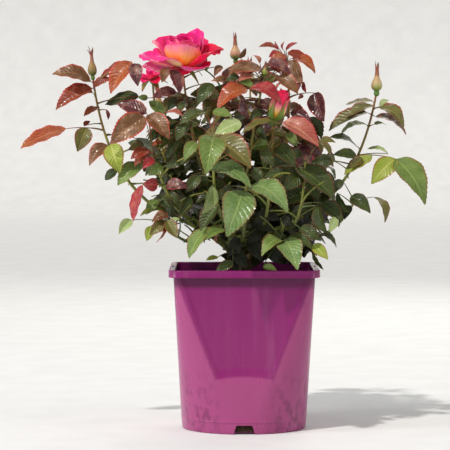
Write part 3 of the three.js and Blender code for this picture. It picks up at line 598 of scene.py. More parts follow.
def soil_point(column, share):
    point = wall_point(column, SOIL_TOP - 1, WALL + 0.6) * share
    lift = BED_BUMPS * noise.noise(Vector((point.x, point.y, 3)) / 9) + FINE_BUMPS * noise.noise(point / 3.5)
    point.z = SOIL_TOP - 1 + lift * min(1.0, 8 * (1 - share) + 0.3)
    return point


levels = [(wall_point, FLOOR_THICKNESS + 0.5, WALL + 1)]
levels += [(soil_point, 1 - SOIL_REACH * step / (SOIL_RINGS - 1)) for step in range(SOIL_RINGS)]
bm = lofted(2, levels)
draw = seeded_draw(CRUMB_SEED)
for crumb in range(CRUMBS):
    angle = FULL_TURN * draw()
    away = CRUMB_NEAREST + CRUMB_SPREAD * math.sqrt(draw())
    size = CRUMB_LEAST + CRUMB_GROWTH * draw() ** 2
    height = SOIL_TOP - CRUMB_DEPTH + CRUMB_DEPTH * size * draw()
    centre = Vector((away * math.cos(angle), away * math.sin(angle), height))
    shape = Matrix.Diagonal((1 + draw(), 1 + 0.5 * draw(), 0.6 + 0.4 * draw(), 1))
    turn = Matrix.Rotation(ALL_ROUND * draw(), 4, "Z") @ Matrix.Rotation(draw() - 0.5, 4, "X")
    place = Matrix.Translation(centre) @ turn @ shape
    bmesh.ops.create_icosphere(bm, subdivisions=1, radius=size, matrix=place)
skin = Finish("potting mix", 0.92, 0.25)
peat = skin.noise(skin.place(), 260, 5)
peat = skin.ramp(peat, (0.3, "17100b"), (0.5, "2c1d13"), (0.66, "4b3421"), (0.78, "8a7355"))
mix = skin.cover(peat, skin.noise(skin.place(), 700, 5), 0.6, 0.001)
finish_piece(bm, "potting_mix", [mix], crisp=50, replaces=["soil"])

# %% [markdown]
# ## How a limb grows
# A cane leaves its parent outwards and upwards and then bends over to its tip, so one curve
# with a single bend describes it. A shoot carries straight on from its cane. The curves are
# measured along their length, so a share of 0.5 is always half of the way along the wood.

# %% Curves along the wood
CURVE_STEPS = 60
LIMB_START_SHARE = 0.45
LIMB_START_OUT = 0.55
LIMB_START_UP = 0.83


class Wood:
    """A curve from a foot to a tip that bends once, with places at even shares of its length."""

    def __init__(self, foot, bend, tip):
        self.corners = [Vector(point) for point in (foot, bend, tip)]
        points = [self.at_raw(i / CURVE_STEPS) for i in range(CURVE_STEPS + 1)]
        self.runs = [0.0]
        for first, second in zip(points, points[1:]):
            self.runs.append(self.runs[-1] + (second - first).length)

    def at_raw(self, t):
        foot, bend, tip = self.corners
        return foot * (1 - t) ** 2 + bend * (2 * t * (1 - t)) + tip * t ** 2

    def raw(self, share):
        run = min(max(share, 0.0), 1.0) * self.runs[-1]
        for i, (low, high) in enumerate(zip(self.runs, self.runs[1:])):
            if run <= high:
                return (i + (run - low) / (high - low)) / CURVE_STEPS
        return 1.0

    def place(self, share):
        return self.at_raw(self.raw(share))

    def way(self, share):
        foot, bend, tip = self.corners
        t = self.raw(share)
        return ((bend - foot) * (1 - t) + (tip - bend) * t).normalized()

    def side(self):
        foot, bend, tip = self.corners
        across = (tip - foot).cross(bend - foot)
        return across.normalized() if across.length > 1e-6 else (tip - foot).orthogonal().normalized()


def arching(foot, heading, tip):
    reach = LIMB_START_SHARE * (tip - foot).length
    return Wood(foot, foot + heading * LIMB_START_OUT * reach + UP * LIMB_START_UP * reach, tip)


def level_way(vector):
    return Vector((vector.x, vector.y, 0)).normalized()


def heading_way(angle):
    return Vector((math.cos(angle), math.sin(angle), 0))


print("steps in a curve:", CURVE_STEPS)

# %% [markdown]
# ## The limbs
# This table repeats the source's named values. Every limb has the parent it leaves (a share
# of the way along it, or a heading round the graft), the end of its cane, the end of its
# shoot, and how many leaves the seeded rule draws with which first turn and seed. The last
# value is the palette of those leaves.

# %% Table of limbs
Limb = namedtuple("Limb", "parent at cane_end shoot_end leaves first_turn seed palette")
LIMBS = {name: Limb(*values) for name, values in {
    # parent or heading, share along it, ends of cane and shoot, leaves, first turn, seed, palette
    "bloom": (245, None, (-30, -12, 284), (-82, -20, 480), 8, 250, 11, "warm"),
    "left_bud": (192, None, (-92, -12, 284), (-203, -15, 474), 8, 30, 23, "warm"),
    "right_red": (40, None, (28, 22, 278), (58, 12, 499), 8, 200, 37, "red"),
    "right_bud": (352, None, (78, 2, 284), (179, 0, 454), 7, 106, 43, "green"),
    "front_centre": (288, None, (-18, -42, 268), (-38, -84, 396), 8, 250, 53, "green"),
    "back_left": (135, None, (-48, 46, 270), (-118, 150, 428), 9, 120, 61, "warm"),
    "back_right": (82, None, (46, 48, 268), (84, 142, 404), 9, 40, 67, "warm"),
    "second_bloom": ("bloom", 0.5, (-50, 20, 282), (-124, 30, 466), 7, 90, 71, "warm"),
    "centre_bud": ("right_red", 0.42, (-8, 28, 286), (-11, 25, 497), 8, 320, 79, "warm"),
    "middle_red": ("front_centre", 0.4, (0, -28, 278), (27, -40, 474), 9, 20, 83, "red"),
    "half_open": ("right_bud", 0.3, (24, -40, 270), (38, -58, 412), 13, 330, 97, "green"),
    "left_tuft": ("left_bud", 0.62, (-72, -34, 284), (-121, -46, 368), 8, 170, 101, "red"),
    "left_low": ("left_bud", 0.4, (-58, -30, 254), (-112, -50, 282), 9, 190, 107, "green"),
    "right_low": ("right_bud", 0.55, (80, -22, 262), (150, -24, 308), 10, 350, 113, "green"),
    "front_low": ("front_centre", 0.62, (-4, -58, 256), (2, -96, 338), 9, 230, 127, "green"),
    "front_right": ("right_bud", 0.42, (54, -42, 270), (80, -64, 360), 12, 320, 131, "green"),
    "centre_low": ("front_centre", 0.3, (20, -28, 238), (52, -72, 276), 7, 60, 151, "green"),
    "right_hanging": ("right_bud", 0.25, (52, -22, 240), (92, -50, 268), 8, 300, 157, "green"),
    "rim_left": ("bloom", 0.22, (-18, -34, 236), (-14, -66, 244), 7, 230, 163, "green"),
    "back_centre": ("back_left", 0.4, (-8, 58, 276), (10, 150, 466), 9, 80, 137, "warm"),
    "back_low": ("back_right", 0.5, (10, 74, 252), (30, 168, 318), 10, 60, 149, "green"),
}.items()}
CLEAR = 0.3
STEM_LEAN = -4
STEM_HEIGHT = 33
CANE_SOURCE_HEIGHT = 22


def cane_wood(limb, canes):
    tip = Vector(limb.cane_end)
    if limb.at is None:
        foot = Vector((STEM_LEAN * CANE_SOURCE_HEIGHT / STEM_HEIGHT, 0, SOIL_TOP + CANE_SOURCE_HEIGHT))
        return arching(foot, heading_way(math.radians(limb.parent)), tip)
    foot = canes[limb.parent].place(limb.at)
    return arching(foot, level_way(tip - foot), tip)


def shoot_wood(cane, end):
    way = cane.way(1)
    foot = cane.place(1) + way * CLEAR
    return Wood(foot, foot + way * LIMB_START_SHARE * (end - foot).length, end)


canes, shoots = {}, {}
for name, limb in LIMBS.items():
    canes[name] = cane_wood(limb, canes)
    shoots[name] = shoot_wood(canes[name], Vector(limb.shoot_end))
print("limbs:", len(LIMBS))

# %% [markdown]
# ## Round wood
# Canes, shoots, twigs and stalks are all tubes that taper. A ring of points is pushed along
# the curve and turned and scaled on the way, exactly as one would extrude a circle along a
# path by hand. The wood keeps one side square to the plane it bends in, so it never twists.
# A thorn is a cone that is flattened and leans back.

# %% Extrude a tube along a curve
THORN_LEAN = 0.35
THORN_FOOT, THORN_TIP, THORN_FLATNESS = 0.42, 0.03, 0.45
THORN_SIDES = 6


def section(wood, share, radius):
    way = wood.way(share)
    side = wood.side()
    turn = Matrix((side, way.cross(side), way)).transposed().to_4x4()
    return Matrix.Translation(wood.place(share)) @ turn @ Matrix.Diagonal((radius, radius, radius, 1))


def tapering(foot_radius, tip_radius):
    return lambda share: mix_of(foot_radius, tip_radius, share)


def tube(bm, wood, radius_at, sides, steps):
    """radius_at: gives the radius at a share of the length. Hands back all points of the tube."""
    here = section(wood, 0, radius_at(0))
    ring = bmesh.ops.create_circle(bm, cap_ends=True, segments=sides, radius=1, matrix=here)["verts"]
    members = set(ring)
    edges = [edge for edge in {e for v in ring for e in v.link_edges} if set(edge.verts) <= members]
    made = list(ring)
    for step in range(1, steps + 1):
        edges, verts = extruded(bm, edges)
        following = section(wood, step / steps, radius_at(step / steps))
        bmesh.ops.transform(bm, matrix=following @ here.inverted(), verts=verts)
        here = following
        made += verts
    bmesh.ops.edgeloop_fill(bm, edges=edges)
    return made


def prickle(bm, wood, share, angle, radius, size):
    """A thorn: a flattened cone whose point leans back towards the foot of the wood."""
    way = wood.way(share)
    side = Matrix.Rotation(angle, 3, way) @ wood.side()
    aim = (side - THORN_LEAN * way).normalized()
    across = way.cross(aim).normalized()
    turn = Matrix((aim.cross(across), across, aim)).transposed().to_4x4()
    place = Matrix.Translation(wood.place(share) + side * (radius + THORN_FOOT * size))
    shape = Matrix.Diagonal((1.0, THORN_FLATNESS, 1.0, 1))
    bmesh.ops.create_cone(bm, cap_ends=True, segments=THORN_SIDES, radius1=THORN_FOOT * size,
                          radius2=THORN_TIP * size, depth=size, matrix=place @ turn @ shape)


print("a thorn leans back by", THORN_LEAN)

# %% [markdown]
# ## Grafted stem
# Nursery roses are grafted: a knobbly collar just above the mix, from which the canes rise.
# Its section is drawn as a half outline and spun round, then the whole is leaned a little
# and its skin is roughened with noise to give the corky bark and the old cane scars.

# %% Spin and roughen the stem
STEM_PROFILE = [
    # radius, height above the mix
    (16.4, -3), (16.2, 1), (12.2, 4), (9.8, 10), (11.2, 17), (13.2, 23), (10.8, 29), (6.5, 32.4),
    (0.01, STEM_HEIGHT),
]
STEM_STEPS = 40
KNOB_DEPTH, RIDGE_DEPTH, KNOB_SHARE = 1.6, 0.7, 0.8


def turned(bm, profile, matrix, steps, finish=0):
    """Spins a half outline of (radius, height) pairs all the way round, all in one finish."""
    old_verts, old_faces = set(bm.verts), set(bm.faces)
    verts = [bm.verts.new((radius, 0, height)) for radius, height in profile]
    edges = [bm.edges.new(pair) for pair in zip(verts, verts[1:])]
    bmesh.ops.spin(bm, geom=verts + edges, cent=(0, 0, 0), axis=UP, angle=FULL_TURN, steps=steps,
                   use_merge=True)
    bmesh.ops.remove_doubles(bm, verts=[vert for vert in bm.verts if vert not in old_verts], dist=0.02)
    bmesh.ops.transform(bm, matrix=matrix, verts=[vert for vert in bm.verts if vert not in old_verts])
    for face in bm.faces:
        if face not in old_faces:
            face.material_index = finish


bm = bmesh.new()
turned(bm, STEM_PROFILE, Matrix.Identity(4), STEM_STEPS)
bmesh.ops.subdivide_edges(bm, edges=bm.edges, cuts=2, use_grid_fill=True, smooth=0.6)
for vert in bm.verts:
    around = Vector((vert.co.x, vert.co.y, 0))
    ridges = RIDGE_DEPTH * noise.noise(Vector((vert.co.x, vert.co.y, vert.co.z / 3)) / 1.6)
    knobs = KNOB_DEPTH * noise.noise(vert.co / 7) + ridges
    if around.length > 1:
        vert.co += around.normalized() * knobs * KNOB_SHARE
    vert.co.x += STEM_LEAN * vert.co.z / STEM_HEIGHT
    vert.co.z += SOIL_TOP
bmesh.ops.recalc_face_normals(bm, faces=bm.faces)
skin = Finish("corky bark", 0.88, 0.25)
place = skin.place()
fibres = skin.noise(skin.stretched(place, (220, 220, 60)), 1.0, 6)
cork = skin.ramp(fibres, (0.28, "2b2019"), (0.5, "5d4836"), (0.7, "8a745a"), (0.85, "a8967a"))
cork = skin.blend(skin.ramp(skin.noise(place, 60), (0.55, 0), (0.7, 0.5)), cork, "5c5f34")
bark = skin.cover(cork, fibres, 0.8, 0.0012)
finish_piece(bm, "grafted_stem_bark", [bark], replaces=["graft_stem"])

# %% [markdown]
# ## Canes
# A rose cane is smooth and round, brown and corky near the graft and green higher up. It
# carries flat thorns that lean back, and swells a little at every old leaf scar. The
# tubes taper as in the source, noise moves their skin by a few tenths of a millimetre, and
# a seeded draw sets the thorns.

# %% Grow the canes
CANE_FOOT_RADIUS = 4
CANE_TIP_RADIUS = 2.6
LATERAL_SHARE = 0.8
CANE_SEED = 5000
CANE_THORNS = 7
SCAR_SWELL, SCAR_PACE = 0.09, 18
SKIN_ROUGHNESS = 0.28

bm = bmesh.new()
for name, wood in canes.items():
    lateral = LATERAL_SHARE if LIMBS[name].at is not None else 1.0
    draw = seeded_draw(LIMBS[name].seed + CANE_SEED)
    first_scar = ALL_ROUND * draw()

    def radius_at(share):
        scar = SCAR_SWELL * max(0.0, math.sin(SCAR_PACE * share + first_scar)) ** 6
        return mix_of(CANE_FOOT_RADIUS, CANE_TIP_RADIUS, share) * (1 + scar) * lateral

    for vert in tube(bm, wood, radius_at, sides=12, steps=22):
        shift = Vector((noise.noise(vert.co / 3), noise.noise(vert.co / 3 + Vector((9, 0, 0))), 0))
        vert.co += SKIN_ROUGHNESS * shift
    for thorn in range(CANE_THORNS):
        prickle(bm, wood, 0.2 + 0.75 * draw(), ALL_ROUND * draw(), 2.5 * lateral, 4.5 + 2 * draw())
bmesh.ops.recalc_face_normals(bm, faces=bm.faces)
skin = Finish("cane skin", 0.5, 0.4)
place = skin.place()
stripes = skin.noise(skin.stretched(place, (300, 300, 70)), 1.0, 5)
old_skin = skin.ramp(stripes, (0.3, "3a2b1e"), (0.55, "6b5238"), (0.75, "94805c"))
new_skin = skin.ramp(stripes, (0.3, "56652b"), (0.6, "7d8a3c"), (0.8, "9a7a45"))
young_share = skin.ramp(skin.axes(place)["Z"], (0.215, 0), (0.275, 1))
cane_skin = skin.cover(skin.blend(young_share, old_skin, new_skin), stripes, 0.45, 0.0008)
finish_piece(bm, "canes_with_thorns", [cane_skin], replaces=[name + "_cane" for name in canes])

# %% [markdown]
# ## One rose leaflet
# A leaflet is an oval blade with a drawn-out tip, fine forward-leaning teeth, a fold along
# the midrib and a gentle arch. A small grid is enough: its side edges are split once and the
# new points are pushed out as teeth. Because it is repeated many hundred times it stays at a
# few dozen faces. Moulds with other folds, arches and twists hide the repeat.

# %% Mould the leaflets
BLADE_WIDTH = 0.56
STIPULE_WIDTH = 0.3
STIPULE_BEND = (0.5, 0.12, 0.2, 0.0)
BENDS = [
    # fold along the midrib, arch, twist, wave of the rim
    (0.16, 0.05, 0.1, 0.012), (0.5, 0.08, -0.15, 0.008), (0.26, 0.14, 0.25, 0.014),
    (0.7, 0.03, 0.0, 0.01), (0.3, 0.1, 0.5, 0.01), (0.36, 0.18, -0.35, 0.01),
]


def blade_half_width(t):
    """Rounded at the foot, broadest before the middle, drawn out to the tip."""
    return min(1.0, 2.84 * max(t, 0.0) ** 0.6 * max(0.0, 1 - t) ** 0.98)


def mould_blade(name, width, bend, across=4, along=9, tooth=0.016):
    fold, arch, twist, wave = bend
    bm = bmesh.new()
    bm.loops.layers.uv.new("UVMap")
    bmesh.ops.create_grid(bm, x_segments=across, y_segments=along, size=0.5, calc_uvs=True)
    sides = [e for e in bm.edges if all(abs(abs(v.co.x) - 0.5) < 1e-4 for v in e.verts)]
    split = bmesh.ops.subdivide_edges(bm, edges=sides, cuts=1)["geom_inner"]
    teeth = {item for item in split if isinstance(item, bmesh.types.BMVert)}
    for vert in bm.verts:
        t, s = vert.co.y + 0.5, 2 * vert.co.x
        out = (0.5 * width * blade_half_width(t) + 0.005) * s
        if vert in teeth:
            out += math.copysign(tooth * (0.3 + math.sin(math.pi * t)), s)
            t += 0.16 / along
        lift = fold * abs(out) - 0.35 * fold * out * out / width
        lift += arch * math.sin(math.pi * t) - 0.6 * arch * t ** 3
        lift += wave * math.sin(7 * math.pi * t + (1.5 if s > 0 else 0)) * s * s
        turn = twist * (t - 0.4)
        vert.co = Vector((out * math.cos(turn), t, lift + out * math.sin(turn)))
    mesh = bpy.data.meshes.new(name)
    bm.to_mesh(mesh)
    bm.free()
    return mesh


small_blades = [mould_blade(f"leaflet_{i}", BLADE_WIDTH, bend) for i, bend in enumerate(BENDS)]
large_blades = [mould_blade(f"large_leaflet_{i}", BLADE_WIDTH, bend, across=6, along=14, tooth=0.012)
                for i, bend in enumerate(BENDS)]
stipule = mould_blade("stipule", STIPULE_WIDTH, STIPULE_BEND, across=2, along=4, tooth=0.01)
print("faces in a leaflet:", len(small_blades[0].polygons), "in a large one:", len(large_blades[0].polygons))

# %% [markdown]
# ## Hundreds of leaflets in one mesh
# Setting hundreds of objects one by one is slow, and the finished plant should be a handful
# of meshes. Each mould is read once into arrays. Placing a leaflet is then one product of
# its points with a turn and a shift, and all leaflets of a tint become one joined mesh.

# %% Join moulds from arrays
class Mould:
    def __init__(self, mesh):
        self.points = self.read(mesh.vertices, "co", 3 * len(mesh.vertices)).reshape(-1, 3)
        self.corners = self.read(mesh.loops, "vertex_index", len(mesh.loops), np.int32)
        self.sizes = self.read(mesh.polygons, "loop_total", len(mesh.polygons), np.int32)
        self.uvs = self.read(mesh.uv_layers[0].data, "uv", 2 * len(mesh.loops))

    @staticmethod
    def read(items, key, count, kind=float):
        values = np.empty(count, dtype=kind)
        items.foreach_get(key, values)
        return values


class Spray:
    """Collects the leaflets of one tint and joins them into one mesh."""

    def __init__(self):
        self.points, self.corners, self.sizes, self.uvs, self.total = [], [], [], [], 0

    def add(self, mould, root, tip, normal, breadth=1.0):
        way = (tip - root).normalized()
        size = (tip - root).length
        side = way.cross(normal).normalized()
        turn = np.array((side * size * breadth, way * size, normal * size * breadth))
        self.points.append(mould.points @ turn + np.array(root))
        self.corners.append(mould.corners + self.total)
        self.sizes.append(mould.sizes)
        self.uvs.append(mould.uvs)
        self.total += len(mould.points)

    def joined(self, name):
        points, corners, sizes = (np.concatenate(parts) for parts in (self.points, self.corners, self.sizes))
        mesh = bpy.data.meshes.new(name)
        mesh.vertices.add(len(points))
        mesh.vertices.foreach_set("co", points.ravel())
        mesh.loops.add(len(corners))
        mesh.loops.foreach_set("vertex_index", corners)
        mesh.polygons.add(len(sizes))
        mesh.polygons.foreach_set("loop_start", np.concatenate(([0], np.cumsum(sizes)[:-1])))
        mesh.update(calc_edges=True)
        mesh.uv_layers.new(name="UVMap").data.foreach_set("uv", np.concatenate(self.uvs))
        bm = bmesh.new()
        bm.from_mesh(mesh)
        bpy.data.meshes.remove(mesh)
        return bm


RULE_MOULDS = [Mould(mesh) for mesh in small_blades]
AIMED_MOULDS = [Mould(mesh) for mesh in large_blades]
STIPULE_MOULD = Mould(stipule)
print("points in a leaflet:", len(RULE_MOULDS[0].points))

# %% [markdown]
# ## Where the leaves sit
# The source's rule is written again here. Leaves follow one another round the shoot by 144
# degrees; each has a stalk that climbs, a blade at its end and pairs of side blades. The
# rule is then carried one step finer: short side twigs leave the shoot by the same turn and
# carry smaller leaves.

# %% The rule of the leaves
LEAF_TURN, LEAF_TURN_SPREAD = 144, 24
FIRST_LEAF_AT, LAST_LEAF_AT = 0.06, 0.92
STALK_LENGTH, BLADE_LENGTH = 62, 60
STALK_CLIMB, STALK_CLIMB_SPREAD = 14, 22
BLADE_CLIMB, BLADE_CLIMB_SPREAD = -38, 28
TOP_LEAF_SHARE = 0.62
LEAF_SIZE_SPREAD = 0.12
THREE_BLADES_FROM = 0.75
ROLL_SPREAD = 30
STALK_ARCH = 0.1
OUTWARD_LEAN = 1.1
SIDE_BLADE_ANGLE = math.radians(62)
SIDE_BLADE_DROOP = 0.45
SIDE_BLADE_SHARE = (0.86, 0.68, 0.52)
SIDE_BLADE_AT = (0.76, 0.48, 0.24)


def square_to(way, vector):
    """What is left of a direction when it is made square to another."""
    return (vector - way * vector.dot(way)).normalized()


def upper_side(way, outward, roll):
    return Matrix.Rotation(roll, 3, way) @ square_to(way, UP + outward * OUTWARD_LEAN)


def climbing(outward, angle):
    return outward * math.cos(angle) + UP * math.sin(angle)


def arched_stalk(node, hinge):
    return Wood(node, (node + hinge) / 2 + UP * STALK_ARCH * (hinge - node).length, hinge)


def compound_leaf(node, hinge, tip, count, roll):
    """The stalk of one compound leaf and its blades as (root, tip, upper side)."""
    turn = math.radians(roll)
    outward = level_way(hinge - node)
    stalk = arched_stalk(node, hinge)
    blades = [(hinge, tip, upper_side((tip - hinge).normalized(), outward, turn))]
    for at, share in list(zip(SIDE_BLADE_AT, SIDE_BLADE_SHARE))[:(count - 1) // 2]:
        root, forward = stalk.place(at), stalk.way(at)
        across = forward.cross(upper_side(forward, outward, turn))
        for side in (1, -1):
            way = forward * math.cos(SIDE_BLADE_ANGLE) + across * side * math.sin(SIDE_BLADE_ANGLE)
            way = (way - UP * SIDE_BLADE_DROOP).normalized()
            point = root + way * share * (tip - hinge).length
            blades.append((root, point, upper_side(way, outward, turn)))
    return stalk, blades


def drawn_leaves(wood, count, first_turn, draw, stalk_length, blade_length):
    """The leaves of a shoot or twig, by the seeded rule."""
    def spread():
        return 2 * draw() - 1
    for i in range(count):
        rise = (i + 0.5) / count
        size = mix_of(1, TOP_LEAF_SHARE, rise) * (1 + LEAF_SIZE_SPREAD * spread())
        node = wood.place(mix_of(FIRST_LEAF_AT, LAST_LEAF_AT, rise))
        outward = heading_way(math.radians(first_turn + i * LEAF_TURN + LEAF_TURN_SPREAD * spread()))
        climb = math.radians(STALK_CLIMB + STALK_CLIMB_SPREAD * spread())
        droop = math.radians(BLADE_CLIMB + BLADE_CLIMB_SPREAD * spread())
        hinge = node + climbing(outward, climb) * stalk_length * size
        tip = hinge + climbing(outward, droop) * blade_length * size
        count_here = 3 if rise > THREE_BLADES_FROM else 5
        yield compound_leaf(node, hinge, tip, count_here, ROLL_SPREAD * spread())


print("degrees from leaf to leaf:", LEAF_TURN)

# %% [markdown]
# ## Tints dealt out by spray
# Young rose leaves come out crimson, turn bronze and then green. Each leaf takes one tint as
# a whole, by how high it sits and by the palette of its limb. Low in the bush some leaves
# take the deep tint, a near-black that is painted shade. All blades of a tint are one mesh
# with one finish.

# %% Deal out the tints
# low leaves sometimes take the deep tint, a near-black that is painted shade
LOW_LEAVES = ("dark", "deep", "dark")
MID_LEAVES = ("dark", "green", "dark")
TINT_STEPS = 30
PALETTES = {
    # up to which height, and the tints drawn from
    "warm": [(320, LOW_LEAVES), (370, MID_LEAVES), (410, ("dark", "green", "olive")),
             (440, ("olive", "dark", "bronze")), (999, ("bronze", "purple", "olive"))],
    "red": [(320, LOW_LEAVES), (370, MID_LEAVES), (420, ("dark", "olive", "purple")),
            (450, ("bronze", "purple", "dark")), (999, ("red", "purple", "bronze"))],
    "green": [(300, ("deep", "dark", "dark")), (350, MID_LEAVES), (999, ("green", "dark", "olive"))],
}


def tint_for(palette, height, draw):
    number = int(TINT_STEPS * draw())
    tints = next(tints for limit, tints in PALETTES[palette] if height < limit)
    return tints[number % len(tints)]


print("palettes:", len(PALETTES))

# %% [markdown]
# ## Leaflets that the eye knows
# Some leaflets stand out one by one: the long arching ones at the left, the red tuft at the
# top right, the large wet green ones in the middle. A row gives the root and the tip as they
# lie in the picture, the width that shows, all three in pixels, and how far back the root and
# the tip are, in millimetres. The camera is known, so a place in the picture and a depth make
# a place in the frame. A width that is small for the length means that the blade is turned on
# edge. Its stalk grows from the nearest shoot.

